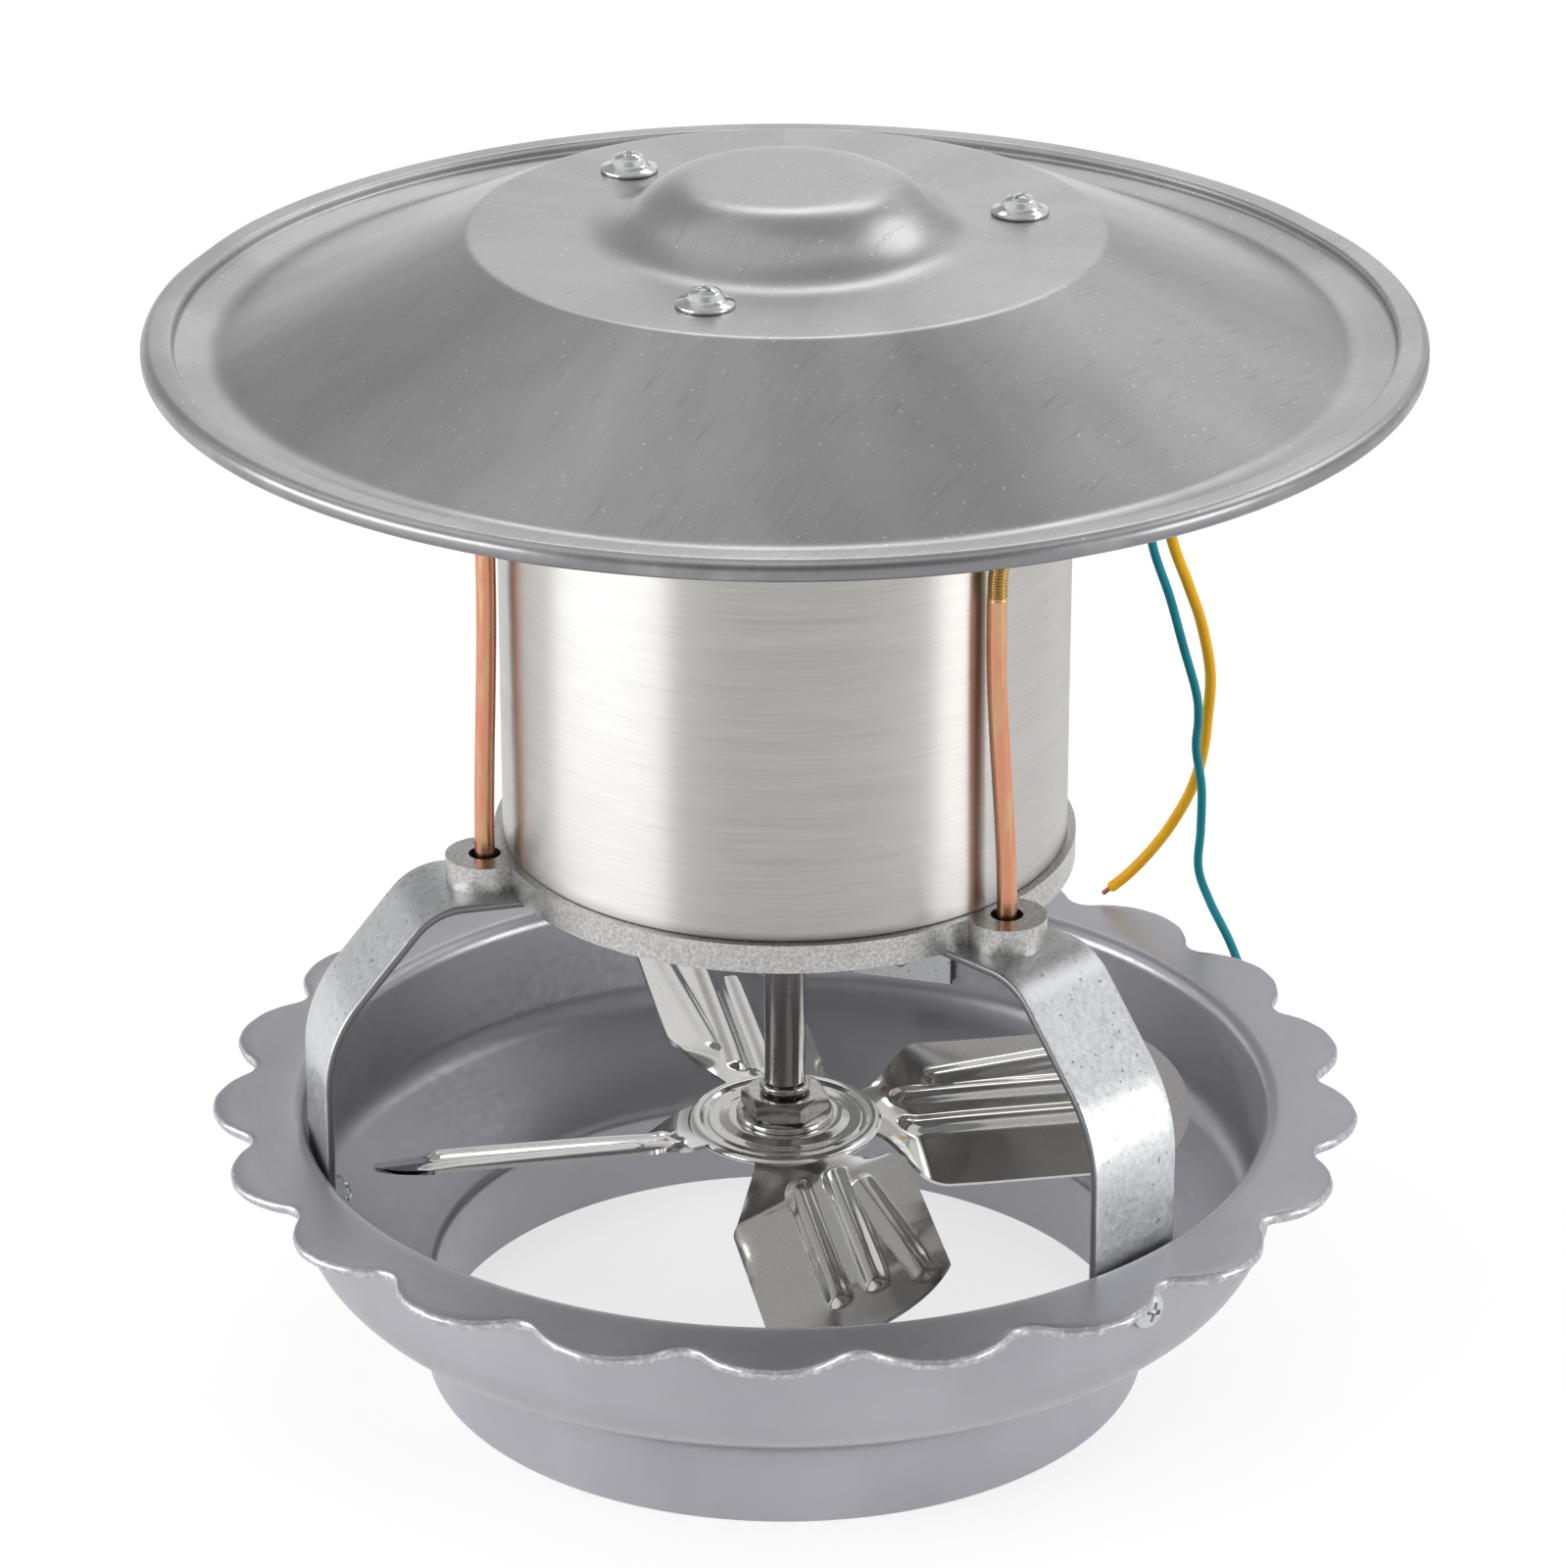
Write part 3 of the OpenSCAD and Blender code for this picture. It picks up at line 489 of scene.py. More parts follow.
leads = {
    "yellow": {
        "diameter": 2.9,
        "route": [
            [39.9, 30.4, 246.4], [39.9, 30.4, 250], [42.5, 32.4, 256], [49, 36, 262], [58, 42, 263],
            [68, 49, 257.5], [78, 55.5, 246], [86, 60.5, 230], [92, 63.5, 210], [96, 66, 190],
            [101, 71, 175], [105, 77, 162], [108, 83, 146], [108, 88, 132], [107.5, 93, 120],
            [105.5, 98, 108], [101.5, 102, 97], [96.5, 106, 87], [90, 108.5, 78], [83.5, 108.8, 72.2],
        ],
    },
    "teal": {
        "diameter": 2.3,
        "route": [
            [36.7, 33.8, 246.4], [36.7, 33.8, 250], [39, 36.5, 256], [46, 41, 260], [55, 46, 259.5],
            [65, 51, 252], [75, 55, 240], [83, 58.5, 225], [88.5, 60.5, 208], [91, 62, 190],
            [96, 66, 174], [100, 70, 159], [104, 75, 144], [105, 79, 135], [105, 83.5, 125],
            [107, 88, 112], [107.5, 93, 98], [107.5, 97, 85], [111, 99.5, 74], [117, 100.5, 61],
            [122, 102, 46], [124.5, 104, 31], [125, 107, 16], [122.5, 112, 5.5], [117, 118, 2],
            [108, 125, 1.5], [97, 131, 1.5],
        ],
    },
    "bareEnd": 2.5,  # length of wire that shows past the sleeve
    "bareShare": 0.45,  # wire's diameter over the sleeve's
    "strip": 0.15,  # run over which the sleeve ends
    "across": (0.2, -1.0, 0.1),  # a direction that no stretch runs along
    "sides": 20, "stepsPerPoint": 10,
}


def curveThrough(route, steps):
    # Catmull-Rom curve: each stretch b..c is the cubic whose ends slope as c - a and d - b do
    p = np.array(route, float)
    padded = np.vstack([p[:1], p, p[-1:]])
    a, b, c, d = (padded[i:len(padded) - 3 + i, None] for i in range(4))
    t = np.linspace(0, 1, steps, endpoint=False)[None, :, None]
    curve = 0.5 * (2 * b + (c - a) * t + (2 * a - 5 * b + 4 * c - d) * t ** 2
                   + (3 * b - a - 3 * c + d) * t ** 3)
    return np.vstack([curve.reshape(-1, 3), p[-1:]])


def sweptCircle(path, radius, sides):
    # Rings across the path; their directions come from one vector, made square to each run
    run = unit(np.gradient(path, axis=0))
    side = unit(np.cross(run, leads["across"]))
    other = np.cross(run, side)
    angle = fullTurn(sides)[None, :, None]
    ring = side[:, None] * np.cos(angle) + other[:, None] * np.sin(angle)
    return path[:, None] + ring * np.broadcast_to(radius, len(path))[:, None, None]


def makeLead(name):
    # Rings along the curve; where less than bareEnd is left they shrink from sleeve to wire
    facts, node = leads[name], "lead_" + name
    path = curveThrough(facts["route"], leads["stepsPerPoint"])
    gone = np.concatenate([[0], np.cumsum(np.linalg.norm(np.diff(path, axis=0), axis=1))])
    left = gone[-1] - gone
    bared = np.clip((leads["bareEnd"] - left) / leads["strip"], 0, 1)
    radius = facts["diameter"] / 2 * (1 - (1 - leads["bareShare"]) * bared)
    rings = sweptCircle(path, radius, leads["sides"])
    shell = Shell().grid(rings, wrapRows=False, caps=True, bare=bared[:, None])
    piece = shell.place(node + "_sleeve", "housing", name + "Lead", node, node + "_pvc")
    [v * mm for v in facts["route"][0]]


makeLead("yellow")
makeLead("teal")
print("leads laid")


# Cap

cap = {
    "sheet": 1.0, "domeTopR": 28, "domeR": 40, "domeH": 12.5, "plateauR": 74.2, "rise": 27,
    "slopeEndR": 132.9, "brimEdgeR": 142.4, "brimLift": 1.6, "curlUp": 4.2, "curlH": 5.0,
    "curlEndR": 145.2, "inside": 0.02,  # the last: how far the roll stays inside the CAD box
    "bends": (0, 20, 18, 5, 9, 0.8, 1.3, 2.4, 1.6, 0),  # at the sheet's corners, from the middle out
    "segments": 336, "step": 2.6,
    # how far the pressing wanders from a true cone, and its waves: times round the axis,
    # millimetres of radius for a radian of slant, start and share
    "waves": 0.14, "swells": [(3, math.inf, 0.7, 0.5), (5, -21, 2.1, 0.35), (11, 9, 0, 0.12)],
    "waveIn": (80, 20), "waveOut": (138, -12),  # radii where they start and end, and over what run
    # direction in degrees, width and depth of each dent in the roll
    "dents": [(-104, 4.0, 0.55), (-118, 3.0, 0.4), (-64, 2.5, 0.3), (28, 3.5, 0.35), (160, 4, 0.4)],
    "dentIn": (141, 3), "dentDrop": 0.3, "rollR": 150,
    # the painted shade on the roll's outer wall: how far in from the roll's reach and down from its top it
    # starts
    "dullIn": 2.4, "dullOver": 1.4, "dullTop": 0.4, "dullTopOver": 0.9,
}


def makeCap():
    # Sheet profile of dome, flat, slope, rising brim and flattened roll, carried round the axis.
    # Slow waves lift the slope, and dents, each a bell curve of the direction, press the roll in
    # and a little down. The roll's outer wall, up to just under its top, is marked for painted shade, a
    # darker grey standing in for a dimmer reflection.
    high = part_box("cap_cover")[1] / mm
    top, outer = high.z, min(high.x, high.y) - cap["inside"]
    flat = top - cap["domeH"]
    brim = flat - cap["rise"]
    rollTop = brim + cap["curlUp"]
    rollLow = rollTop - cap["curlH"]
    corners = [
        (0, top), (cap["domeTopR"], top), (cap["domeR"], flat), (cap["plateauR"], flat),
        (cap["slopeEndR"], brim), (cap["brimEdgeR"], brim + cap["brimLift"]),
        (cap["brimEdgeR"], rollTop), (outer, rollTop), (outer, rollLow), (cap["curlEndR"], rollLow),
    ]
    path = spaced(roundPath(corners, cap["bends"]), cap["step"])
    points = revolve(sheetLoop(path, cap["sheet"], roundStart=False), cap["segments"])
    x, y, z = np.moveaxis(points, -1, 0)
    r, direction = np.hypot(x, y), np.arctan2(y, x)
    onSlope = ramp(r, *cap["waveIn"]) * ramp(r, *cap["waveOut"])
    lift = cap["waves"] * swell(cap["swells"], direction, r) * onSlope
    onRim = ramp(r, *cap["dentIn"])
    dent = sum(depth * np.exp(-((np.degrees(direction) - where + 180) % 360 - 180) ** 2 / (2 * width ** 2))
               for where, width, depth in cap["dents"])
    shrink = 1 - onRim * dent / cap["rollR"]
    points = np.stack([x * shrink, y * shrink, z + lift - cap["dentDrop"] * onRim * dent], -1)
    # painted shade: marks the roll's outer wall, which the cap's material darkens
    fromTop = cap["curlH"] - cap["dullTop"] - (z - rollLow)
    dull = ease((r - outer + cap["dullIn"]) / cap["dullOver"]) * ease(fromTop / cap["dullTopOver"])
    Shell().grid(points, dull=dull).place(
        "cap_pressing", "housing", "cap", "cap_cover", "cap_aluminium", sharp=60)


makeCap()
print("cap pressed")


# Fasteners

capScrew = {
    "circle": 56, "angles": [-108.6, 11.4, 131.4], "headH": 4.4, "threadR": 2.4, "length": 9.5,
    "turns": (25, 58, 91), "cross": (2.1, 0.45, 1.8),  # reach, half width and depth of the cross
    # outline of the head from its dished top out to its flange: radius and height
    "crown": [(1.8, 4.3), (3.5, 3.65), (4.4, 2.0), (5.2, 1.45), (6.8, 0.95), (6.9, 0.35), (6.4, 0)],
    "crownBends": (0, 1.3, 1.2, 0.8, 0.3, 0.3, 0),
}
strapScrew = {
    "angles": [-165.5, -45.5, 74.5], "height": 56, "seatR": 120.85, "endR": 109.39, "nutR": 110.89,
    "headH": 2.8, "threadR": 2.4, "turns": (28, 69, 110), "cross": (2.3, 0.5, 1.2),
    "crown": [(2.6, 2.6), (3.9, 2.1), (4.8, 1.2), (4.8, 0)], "crownBends": (0, 1.2, 0.8, 0),
}
# a cross's soft sides, what it loses in depth outwards, and how far under the head's top it works
crossCutter = {"soft": 0.16, "shallower": 0.35, "under": 1.4, "over": 0.3}
screwDetail = {"topRings": 26, "bendSteps": 5, "step": 0.3, "endChamfer": 0.5}
smallNut = {"flats": 8, "thick": 4, "hole": 2.45, "strapTurn": 17, "rodTurn": 11}
hubNut = {"flats": 19, "thick": 5.2, "hole": 5.03, "turn": -9.5}
# a nut's round face over its flats, the slope of its corners, and the bore's chamfer over the face
nutCut = {"face": 0.475, "slope": math.radians(28), "lead": 0.25, "steps": (0.33, 0.66, 1)}
columnsRound = 96


def crossCut(points, facts):
    # Two crossing slots with soft sides, less deep away from the middle, pressed into whatever
    # lies near the head's top
    x, y, z = np.moveaxis(points, -1, 0)
    (long, wide, deep), soft = facts["cross"], crossCutter["soft"]
    arms = [ease((long - abs(a)) / soft + 0.5) * ease((wide - abs(b)) / soft + 0.5)
            for a, b in ((x, y), (y, x))]
    fade = 1 - crossCutter["shallower"] * ease(np.hypot(x, y) / long)
    near = ease((z - facts["headH"] + crossCutter["under"]) / crossCutter["over"])
    return np.stack([x, y, z - deep * np.maximum(*arms) * fade * near], -1)


def screwShape(facts, low):
    # Head profile over a plain shank, closed at both ends on the axis. The head's top sinks with
    # the square of the radius out to the crown's first point, and has a cross in it.
    startR, startZ = facts["crown"][0]
    share = np.linspace(0, 1, screwDetail["topRings"], endpoint=False)
    top = np.stack([share * startR, share ** 2 * (startZ - facts["headH"]) + facts["headH"]], -1)
    side = roundPath(facts["crown"], facts["crownBends"], screwDetail["bendSteps"])
    side = spaced(side, screwDetail["step"])
    r, end = facts["threadR"], screwDetail["endChamfer"]
    shank = [[r, 0], [r, low + end], [r - end, low], [0, low]]
    return crossCut(revolve(np.concatenate([top, side, shank]), columnsRound), facts)


def nutShape(facts, low):
    # Rings from the bore over the faces: hexagon radius at each direction, cut down by a cone
    angle = fullTurn(columnsRound)
    hexagon = facts["flats"] / 2 / np.cos((angle % (math.pi / 3)) - math.pi / 6)
    face = facts["flats"] * nutCut["face"]
    past = hexagon - face
    drop = past * math.tan(nutCut["slope"])
    high = low + facts["thick"]
    bore = facts["hole"]
    lead = nutCut["lead"] * (face - bore) / 2
    flat = 0 * angle
    rings = [(bore + flat, high - lead), (bore + lead + flat, high), (face + flat, high)]
    rings += [(face + past * k, high - drop * k) for k in nutCut["steps"]]
    rings += [(face + past * k, low + drop * k) for k in reversed(nutCut["steps"])]
    rings += [(face + flat, low), (bore + lead + flat, low), (bore + flat, low + lead)]
    return np.stack([np.stack([r * np.cos(angle), r * np.sin(angle), z + flat], -1) for r, z in rings])


def ringOf(shape, angles, radius, height, turns=(0, 0, 0), level=False):
    # A copy of the shape at each angle round the axis, given its own turn, upright or level
    shell = Shell()
    for angle, turn in zip(angles, turns):
        own, place = turned(shape, turn), onCircle(radius, angle, height)
        shell.grid(standing(own, place, onCircle(1, angle)) if level else own + place)
    return shell


def makeScrews():
    # The cap's screws point up from its flat; the bowl's point outwards through its wall
    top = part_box("cap_cover")[1].z / mm - cap["domeH"]
    shape = screwShape(capScrew, -capScrew["length"])
    ringOf(shape, capScrew["angles"], capScrew["circle"], top, capScrew["turns"]).place(
        "cap_screw_set", "housing", "chrome", "cap_screws", "screw_chrome")
    shape = screwShape(strapScrew, strapScrew["endR"] - strapScrew["seatR"])
    ringOf(shape, strapScrew["angles"], strapScrew["seatR"], strapScrew["height"],
           strapScrew["turns"], level=True).place(
        "strap_screw_set", "housing", "zinc", "strap_screws", "zinc_steel")


def makeNuts():
    # Nuts lie on the straps' inner faces, pointing outwards, and on the upper bell's lugs
    angles = strapScrew["angles"]
    shape = turned(nutShape(smallNut, strapScrew["nutR"]), smallNut["strapTurn"])
    ringOf(shape, angles, 0, strapScrew["height"], level=True).place(
        "strap_nut_set", "housing", "zinc", "strap_nuts", "zinc_steel", sharp=20)
    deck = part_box("tie_rod_nuts")[0].z / mm
    shape = turned(nutShape(smallNut, deck), smallNut["rodTurn"])
    ringOf(shape, angles, tieRod["circle"], 0.0).place(
        "tie_rod_nut_set", "housing", "yellowZinc", "tie_rod_nuts", "rod_steel", sharp=20)


tieRod = {
    "circle": 74.1, "r": 2.4, "pitch": 0.8, "depth": 0.26, "threadFrom": 222, "threadOver": 1.5,
    "top": 254.2, "endChamfer": 0.5, "seat": 133.6, "headH": 3.5, "headHole": 0.6, "headTurn": 20,
    "shankRings": 40, "ringsPerPitch": 8, "sides": 32,
    # sideways bend of each rod, by its direction, and the heights where it comes and goes
    "bow": {-165.5: (1.6, 0.0), -45.5: (-3.3, 0.0), 74.5: (0.5, -0.4)},
    "bowIn": (143, 70), "bowOut": (226, 21),
}


def makeTieRods():
    # Rings up the rod; above threadFrom the radius dips in a V that climbs one pitch each turn.
    # The shank is bent sideways between the two bells.
    shell = Shell()
    low, high, radius = tieRod["seat"], tieRod["top"], tieRod["r"]
    threadFrom, pitch = tieRod["threadFrom"], tieRod["pitch"]
    z = np.concatenate([np.linspace(low, threadFrom, tieRod["shankRings"], endpoint=False),
                        np.arange(threadFrom, high, pitch / tieRod["ringsPerPitch"]), [high]])[:, None]
    angle = fullTurn(tieRod["sides"])
    phase = (z / pitch - angle / (2 * math.pi)) % 1
    cut = ramp(z, threadFrom, tieRod["threadOver"])
    r = radius - tieRod["depth"] * (1 - abs(2 * phase - 1)) * cut
    r = np.minimum(r, radius - tieRod["endChamfer"] + (high - z))
    bend = ramp(z, *tieRod["bowIn"]) * (1 - ramp(z, *tieRod["bowOut"]))
    headFacts = {"flats": smallNut["flats"], "thick": tieRod["headH"], "hole": tieRod["headHole"]}
    head = nutShape(headFacts, low - tieRod["headH"])
    for where, (bowX, bowY) in tieRod["bow"].items():
        foot = onCircle(tieRod["circle"], where)
        rod = np.stack([foot[0] + bowX * bend + r * np.cos(angle),
                        foot[1] + bowY * bend + r * np.sin(angle), z + 0 * angle], -1)
        shell.grid(rod, wrapRows=False, caps=True, thread=cut)
        shell.grid(turned(head, tieRod["headTurn"] + where) + foot, thread=0.0)
    shell.place("tie_rod_set", "housing", "rod", "tie_rods", "rod_steel", sharp=50)


makeScrews()
makeTieRods()
makeNuts()
print("fasteners set")


# Can

can = {
    "r": 68.2, "wall": 1.2, "segments": 320, "step": 3,
    "waver": 0.03, "swells": [(7, 17, 0, 0.5), (4, -23, 1, 0.5)],  # as the cap's, by height
}


def makeCan():
    # Tube with broken ends; its radius wavers very little, which bends the rods' reflections
    low, high = (v.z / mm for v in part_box("motor_can"))
    half = can["wall"] / 2
    outer = np.array([[can["r"], high - half], [can["r"], low + half]])
    points = revolve(sheetLoop(spaced(outer, can["step"]), can["wall"]), can["segments"])
    x, y, z = np.moveaxis(points, -1, 0)
    depth = can["waver"] / can["r"]
    waver = 1 + depth * swell(can["swells"], np.arctan2(y, x), z) - depth
    Shell().grid(np.stack([x * waver, y * waver, z], -1)).place(
        "can_tube", "housing", "can", "motor_can", "can_steel", sharp=50)


makeCan()
print("can rolled")


# Straps

strap = {
    "width": 27.5, "thick": 2, "edge": 0.55, "startR": 63.6, "bendR": 89.7, "kneeZ": 103,
    "faceR": 116.89, "bottom": 46.5, "bends": (0, 16, 36, 0), "step": 1.2,
    "sectionStep": 2.2, "cutIn": 0.4, "cutOver": 0.3,
}


def makeStrap(side, angle):
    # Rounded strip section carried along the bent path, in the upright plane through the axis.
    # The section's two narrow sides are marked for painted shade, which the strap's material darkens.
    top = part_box("strap_" + side)[1].z / mm
    corners = [(strap["startR"], top), (strap["bendR"], top), (strap["faceR"], strap["kneeZ"]),
               (strap["faceR"], strap["bottom"])]
    path = spaced(roundPath(corners, strap["bends"], 14), strap["step"])
    half, t, e = strap["width"] / 2, strap["thick"], strap["edge"]
    corners = [(0, 0), (half, 0), (half, t), (-half, t), (-half, 0), (0, 0)]
    section = spaced(roundPath(corners, (0, e, e, e, e, 0), 4), strap["sectionStep"])[:-1]
    run = unit(np.gradient(path, axis=0))
    right = np.stack([run[:, 1], -run[:, 0]], -1)
    flat = path[:, None] + right[:, None] * section[None, :, 1, None]
    across = np.broadcast_to(section[None, :, 0], flat.shape[:2])
    points = turned(np.stack([flat[..., 0], across, flat[..., 1]], -1), angle)
    # painted shade: marks the section's two narrow sides, standing in for the shadow along the strip's
    # thickness
    cut = ease((abs(section[:, 0]) - half + strap["cutIn"]) / strap["cutOver"])[None]
    Shell().grid(points, wrapRows=False, caps=True, cut=cut).place(
        "strap_" + side + "_strip", "housing", "strap", "strap_" + side, "strap_aluminium", sharp=50)


for side, angle in zip(("left", "right", "rear"), strapScrew["angles"]):
    makeStrap(side, angle)
print("straps bent")


# Bowl

bowl = {
    "collarR": 86.8, "collarH": 22, "wallR": 118, "floorH": 40, "wall": 2.8, "flangeTop": 70.2,
    "slopeGap": 1.2,  # how much less than a wall the sloping floor's underside drops
    "footH": 0.5, "inBends": (0, 3.5, 9, 4, 0), "outBends": (0, 1.5, 14, 11, 0),
    "footBends": (0, 0.4, 0.4, 0),
    "lobes": 21, "tipR": 141, "notchR": 132.5, "notchRound": 6, "phase": -65.6,
    # the lobes grow from rootPast beyond the wall; the edge wanders and the flange droops a little
    "rootPast": 2.5, "trim": 0.3, "ragged": 0.125, "raggedTimes": (83, 31),
    "droop": 0.35, "droopTimes": 4, "droopStart": 1.1, "edgeIn": (0.87, 0.08),
    "segments": 630, "step": 3,
}


def lobedRadius(direction):
    # Reach of the flange: round lobes that run into rounded notches, each reach being the length
    # from the axis to its circle in that direction
    half = math.pi / bowl["lobes"]
    notchCentre = bowl["notchR"] + bowl["notchRound"]
    tip, small = bowl["tipR"], bowl["notchRound"]
    lobeR = (notchCentre ** 2 + tip ** 2 - 2 * notchCentre * tip * math.cos(half) - small ** 2) \
        / (2 * (tip - notchCentre * math.cos(half) + small))
    lobeCentre = tip - lobeR
    fromNotch = (direction - math.radians(bowl["phase"]) + half) % (2 * half) - half
    fromLobe = half - abs(fromNotch)
    notchChord = np.sqrt(np.maximum(small ** 2 - (notchCentre * np.sin(fromNotch)) ** 2, 0))
    notch = notchCentre * np.cos(fromNotch) - notchChord
    lobe = lobeCentre * np.cos(fromLobe) + np.sqrt(lobeR ** 2 - (lobeCentre * np.sin(fromLobe)) ** 2)
    a, b = np.array([notchCentre, 0]), lobeCentre * np.array([math.cos(half), math.sin(half)])
    touch = a + unit(b - a) * small
    return np.where(abs(fromNotch) < math.atan2(touch[1], touch[0]), notch, lobe)


def makeBowl():
    # One closed sheet: up the inside, out along the flange to the lobed edge, and back down the
    # outside. Past the flange's root the radius is stretched so that it ends on the lobed edge,
    # which a product of two sines makes ragged; the flange droops by a slow sine, and its last
    # part is marked edge.
    wall, tip, top, foot = bowl["wall"], bowl["tipR"], bowl["flangeTop"], bowl["footH"]
    collar, side, collarH, floorH = bowl["collarR"], bowl["wallR"], bowl["collarH"], bowl["floorH"]
    under = wall - bowl["slopeGap"]
    end, skirt, barrel = tip - wall / 2, collar + wall, side + wall
    inner = [(collar, foot), (collar, collarH), (side, floorH), (side, top), (end, top)]
    outer = [(end, top - wall), (barrel, top - wall), (barrel, floorH - under),
             (skirt, collarH - under), (skirt, foot)]
    low = [(skirt, foot), (skirt, 0), (collar, 0), (collar, foot)]
    inner = spaced(roundPath(inner, bowl["inBends"], 10), bowl["step"])
    outer = spaced(roundPath(outer, bowl["outBends"], 12), bowl["step"])
    low = roundPath(low, bowl["footBends"], 3)[1:-1]
    profile = np.concatenate([inner, edgeArc(inner[-1], outer[0]), outer, low])
    x, y, z = np.moveaxis(revolve(profile, bowl["segments"]), -1, 0)
    r, direction = np.hypot(x, y), np.arctan2(y, x)
    root = barrel + bowl["rootPast"]
    often, seldom = bowl["raggedTimes"]
    ragged = bowl["ragged"] * np.sin(often * direction) * np.sin(seldom * direction + 1)
    reach = lobedRadius(direction) - bowl["trim"] + ragged
    share = np.clip((r - root) / (tip - root), 0, 1)
    stretch = np.where(r > root, root + (reach - root) * share, r)
    sag = 0.5 + 0.5 * np.sin(bowl["droopTimes"] * direction + bowl["droopStart"])
    droop = bowl["droop"] * ramp(r, root, tip - root) * sag
    points = np.stack([x * stretch / r, y * stretch / r, z - droop], -1)
    Shell().grid(points, edge=ramp(share, *bowl["edgeIn"])).place(
        "bowl_casting", "housing", "bowl", "base_bowl", "bowl_casting", sharp=60)


makeBowl()
print("bowl cast")


# Shaft and impeller

shaft = {
    "r": 5.0, "low": 52.1, "high": 250.7, "journal": (6.2, 139.65, 243.15),  # wide part: radius, from, to
    "step": 4, "chamfer": 0.9, "groove": 0.35, "grooveBelow": 0.6, "grooveAbove": 0.2, "grooveSlope": 0.3,
}
keeper = {"r": 6.2, "low": 70.9, "thick": 1.6, "gap": 0.02, "startR": 5.6,
          "bends": (0, 0.5, 0.5, 0.3, 0.3, 0)}
hub = {
    "bore": 5.03, "top": 63.2, "sheet": 1.4, "step": 1.5,
    # radius and height from the top: raised flat, groove and rolled rim
    "outline": [(5.73, 0), (14, 0), (16, -0.9), (18.8, -0.9), (19.8, -1.4), (21.1, -0.4), (22.9, -0.4),
                (23.8, -1.4)],
    "bends": (0, 2, 2, 1, 0.6, 1.2, 2, 0),
    "washerR": 12, "washerT": 1.6, "washerStartR": 7, "washerBends": (0, 0.3, 0.6, 0, 0, 0),
}
blade = {  # a pair is where along the blade something starts, and the run over which it comes in
    "count": 4, "phase": -80, "pitch": math.radians(22.9), "reach": 102.6, "tipR": 27, "sheet": 1.0,
    "midZ": 61.6, "drop": 3.5, "rootS": 17, "neckEnd": 39, "twist": (19, 15), "neck": (20, 18),
    "neckWide": 22, "wide": 46, "shift": 2.2, "ribR": 3.7, "camber": 1.2, "camberIn": (20, 30),
    "camberMid": 0.4, "tipFall": 1.1, "tipIn": (82, 24), "rows": 116, "columns": 76,
    # each rib: its inner end, its outer end, both as (way out, way across), and its height
    "ribs": [((31, -2.2), (86.6, -2.2), 1.5), ((31, 7.4), (86.6, 7.4), 1.5), ((40, 13), (90.6, 19), 0.9)],
}


def washer(inner, outer, low, high, startR, bends, steps):
    # Four-cornered profile, started part-way along its lower side, carried round the axis
    corners = [(startR, low), (outer, low), (outer, high), (inner, high), (inner, low), (startR, low)]
    return revolve(roundPath(corners, bends, steps)[:-1], columnsRound)


def makeShaft():
    # Stepped bar with a chamfered foot and a groove under the keeper, and the keeper's ring
    r, low, high, slope = shaft["r"], shaft["low"], shaft["high"], shaft["grooveSlope"]
    (wide, wideLow, wideHigh), neck = shaft["journal"], r - shaft["groove"]
    under = keeper["low"] - shaft["grooveBelow"]
    over = keeper["low"] + keeper["thick"] + shaft["grooveAbove"]
    profile = np.array([
        (0, low), (r - shaft["chamfer"], low), (r, low + shaft["chamfer"]), (r, under), (neck, under + slope),
        (neck, over), (r, over + slope), (r, wideLow), (wide, wideLow), (wide, wideHigh), (r, wideHigh),
        (r, high), (0, high),
    ])
    Shell().grid(revolve(spaced(profile, shaft["step"]), columnsRound), wrapColumns=False).place(
        "shaft_bar", "rotor", "shaft", "motor_shaft", "shaft_steel")
    inner, base = r + keeper["gap"], keeper["low"]
    ring = washer(inner, keeper["r"], base, base + keeper["thick"], keeper["startR"], keeper["bends"], 5)
    Shell().grid(ring).place("keeper_ring", "rotor", "turned", "shaft_keeper", "zinc_steel")


def bladeHeight(s, w):
    # Ribs: a raised half-cosine bar round each rib's line, on a sheet whose height falls with the
    # square of the way to either edge, and again over its last stretch to the tip
    made = np.zeros_like(s)
    for (s0, w0), (s1, w1), rise in blade["ribs"]:
        run = np.array([s1 - s0, w1 - w0])
        along = np.clip(((s - s0) * run[0] + (w - w0) * run[1]) / (run @ run), 0, 1)
        gap = np.hypot(s - s0 - along * run[0], w - w0 - along * run[1])
        bar = 0.5 + 0.5 * np.cos(math.pi * np.clip(gap / blade["ribR"], 0, 1))
        made = np.maximum(made, rise * bar)
    crown = blade["camberMid"] - (2 * (w - blade["shift"]) / blade["wide"]) ** 2
    camber = blade["camber"] * ramp(s, *blade["camberIn"]) * crown
    return made + camber - blade["tipFall"] * ramp(s, *blade["tipIn"])


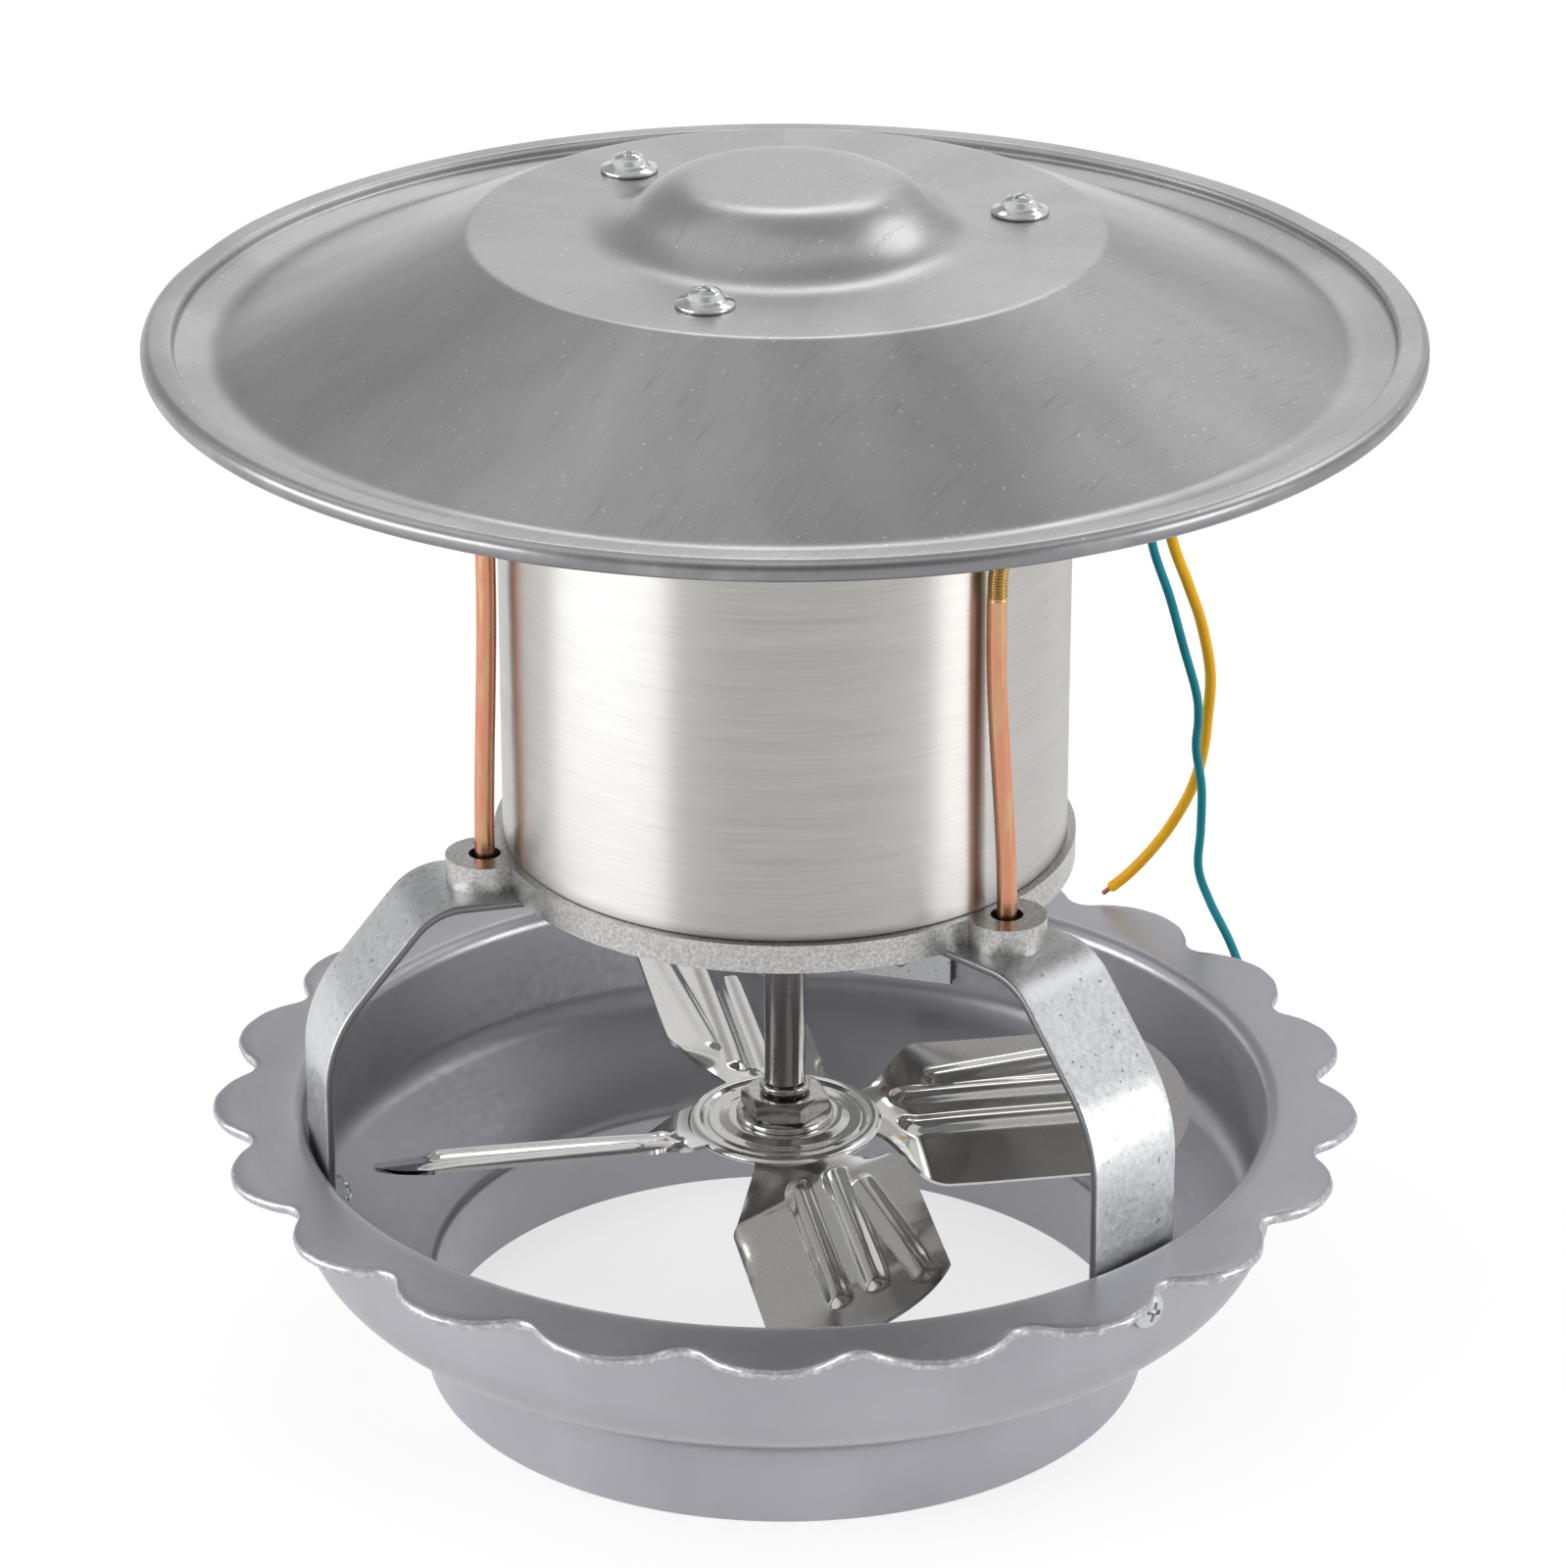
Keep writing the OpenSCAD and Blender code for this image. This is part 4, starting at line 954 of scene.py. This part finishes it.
def bladeShape():
    # Grid from the root to the round tip and from edge to edge: the edges open out from the neck,
    # the pitch and the drop come in over the twist, the tip is an arc about a point on the blade's
    # middle line, and the sheet's two faces lie half a sheet along the normal
    share = np.linspace(0, 1, blade["columns"])[None, :]
    quarters = np.linspace(0, 1, blade["rows"])[:, None] * 4  # the first quarter lies in the neck
    inner = blade["rootS"] + (blade["neckEnd"] - blade["rootS"]) * np.minimum(quarters, 1)
    wide = blade["neckWide"] + (blade["wide"] - blade["neckWide"]) * ramp(inner, *blade["neck"])
    w = blade["shift"] * ramp(inner, *blade["neck"]) + (share - 0.5) * wide
    tip = blade["reach"] - blade["tipR"] + np.sqrt(blade["tipR"] ** 2 - (w - blade["shift"]) ** 2)
    s = inner + (tip - inner) * np.maximum(quarters - 1, 0) / 3
    bend = ramp(s, *blade["twist"])
    turn = blade["pitch"] * bend
    lift = bladeHeight(s, w)
    middle = np.stack([s, w * np.cos(turn) - lift * np.sin(turn),
                       w * np.sin(turn) + lift * np.cos(turn) - blade["drop"] * bend], -1)
    normal = unit(np.cross(np.gradient(middle, axis=0), np.gradient(middle, axis=1)))
    half = blade["sheet"] / 2
    return np.concatenate([middle + normal * half, (middle - normal * half)[:, ::-1]], 1)


def makeImpeller():
    # Hub outline carried round the axis, with the blade turned about it once for each of its
    # places, and then the washers and nuts above and below
    path = roundPath([(r, hub["top"] + z) for r, z in hub["outline"]], hub["bends"], 5)
    shell = Shell().grid(revolve(sheetLoop(spaced(path, hub["step"]), hub["sheet"]), 2 * columnsRound))
    loop = bladeShape() + np.array([0, 0, blade["midZ"]])
    for k in range(blade["count"]):
        shell.grid(turned(loop, blade["phase"] + 360 * k / blade["count"]), wrapRows=False, caps=True)
    shell.place("impeller_pressing", "rotor", "impeller", "impeller", "impeller_steel", sharp=40)
    low, thick = hub["top"] - hub["sheet"], hub["washerT"]
    washers, nuts = Shell(), Shell()
    for base in (hub["top"], low - thick):
        washers.grid(washer(hub["bore"], hub["washerR"], base, base + thick, hub["washerStartR"],
                            hub["washerBends"], 4))
    washers.place("hub_washer_set", "rotor", "turned", "hub_washers", "zinc_steel", sharp=50)
    for base in (hub["top"] + thick, low - thick - hubNut["thick"]):
        nuts.grid(turned(nutShape(hubNut, base), hubNut["turn"]))
    nuts.place("hub_nut_set", "rotor", "turned", "hub_nuts", "zinc_steel", sharp=20)


makeShaft()
makeImpeller()
print("impeller pressed")


# CAD nodes that keep their own mesh

keptNodes = {
    "lower_bell": "bell", "upper_bell": "bell", "cap_posts": "zinc", "lead_grommet": "rubber",
    "stator_core": "core", "stator_windings": "winding", "rotor_core": "core",
    "bearing_outer_races": "race", "bearing_inner_races": "race", "bearing_balls": "chrome",
}
for name, finish in keptNodes.items():
    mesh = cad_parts[name].data
    for index in range(max(1, len(mesh.materials))):
        if len(mesh.materials) <= index:
            mesh.materials.append(finishes[finish])
        mesh.materials[index] = finishes[finish]
print("kept nodes finished:", len(keptNodes))


# Studio

studio = {
    "floorSize": 8.0, "floorZ": -0.0002, "floorColour": "#BCBCBC", "floorLift": 0.66,
    # each lamp: place, width, height, radiance; all aim at the middle of the object
    "lamps": {
        "left": ((-1.65, -0.55, 0.36), 1.75, 0.68, 5.4),
        "right": ((1.65, -0.6, 0.36), 0.65, 0.68, 6.0),
        "high": ((1.36, 0.55, 1.5), 1.1, 0.8, 1.1),
        "back": ((0.1, 1.44, 1.6), 1.0, 0.3, 2.3),
    },
    "aim": (0, 0, 0.15),
    "wallLow": 0.95, "wallHigh": 0.7, "highFrom": 0.95,  # levels low and high, and the second's height
    # each dim patch of the walls: way to it, cosine at its edge, level; dimmest from darkFrom on
    "darkSides": [((-0.5, 0.73, 0.47), 0.84, 0.5), ((0.25, 0.3, 0.92), 0.84, 0.6),
                  ((0.48, 0.86, 0.15), 0.955, 0.65), ((0.05, -0.98, 0.2), 0.6, 0.45)],
    "darkFrom": 0.97,
}


def makeFloor():
    # White paper: lit to white where the camera or a mirror sees it, grey as a source of light
    half, z = studio["floorSize"] / 2, studio["floorZ"]
    mesh = bpy.data.meshes.new("floor")
    corners = [(-half, -half, z), (half, -half, z), (half, half, z), (-half, half, z)]
    mesh.from_pydata(corners, [], [(0, 1, 2, 3)])
    floor = bpy.data.objects.new("floor", mesh)
    scene.collection.objects.link(floor)
    material, add, _ = newMaterial("paperFloor")
    seen = add("LightPath", output="Is Camera Ray")
    for ray in ("Is Glossy Ray", "Is Transmission Ray"):
        seen = add("Math", {0: seen, 1: add("LightPath", output=ray)}, operation="MAXIMUM")
    lift = add("Math", {0: seen, 1: studio["floorLift"]}, operation="MULTIPLY")
    paper = add("BsdfDiffuse", {"Color": linear(studio["floorColour"])})
    glow = add("Emission", {"Color": (1, 1, 1, 1), "Strength": lift})
    add("OutputMaterial", {"Surface": add("AddShader", {0: paper, 1: glow})})
    mesh.materials.append(material)


def makeLamps():
    for name, (place, width, height, radiance) in studio["lamps"].items():
        lamp = bpy.data.lights.new(name, "AREA")
        lamp.shape = "RECTANGLE"
        lamp.size, lamp.size_y = width, height
        lamp.energy = radiance * math.pi * width * height
        held = bpy.data.objects.new(name, lamp)
        held.location = place
        way = np.array(studio["aim"]) - np.array(place)
        tilt = math.acos(-way[2] / np.linalg.norm(way))
        held.rotation_euler = (tilt, 0, math.atan2(way[1], way[0]) - math.pi / 2)
        scene.collection.objects.link(held)


def makeWalls():
    # Walls are white low down and greyer towards the ceiling, and dimmest behind at both sides,
    # overhead and round the camera
    world = bpy.data.worlds.new("studio")
    scene.world = world
    world.use_nodes = True
    world.node_tree.nodes.clear()
    add = nodeAdder(world.node_tree)
    direction = add("TexCoord", output=0)
    height = add("SeparateXYZ", {0: direction}, output=2)
    grey = add("MapRange", {0: height, 2: studio["highFrom"], 3: studio["wallLow"],
                            4: studio["wallHigh"]})
    for way, edge, level in studio["darkSides"]:
        near = add("VectorMath", {0: direction, 1: way}, output=1, operation="DOT_PRODUCT")
        dim = add("MapRange", {0: near, 1: edge, 2: studio["darkFrom"], 3: 1.0, 4: level},
                  interpolation_type="SMOOTHSTEP")
        grey = add("Math", {0: grey, 1: dim}, operation="MULTIPLY")
    strength = add("Mix", {0: add("LightPath", output="Is Camera Ray"), 2: grey, 3: 1.0})
    light = add("Background", {"Color": (1, 1, 1, 1), "Strength": strength})
    add("OutputWorld", {"Surface": light})


makeFloor()
makeLamps()
makeWalls()
print("studio lit")
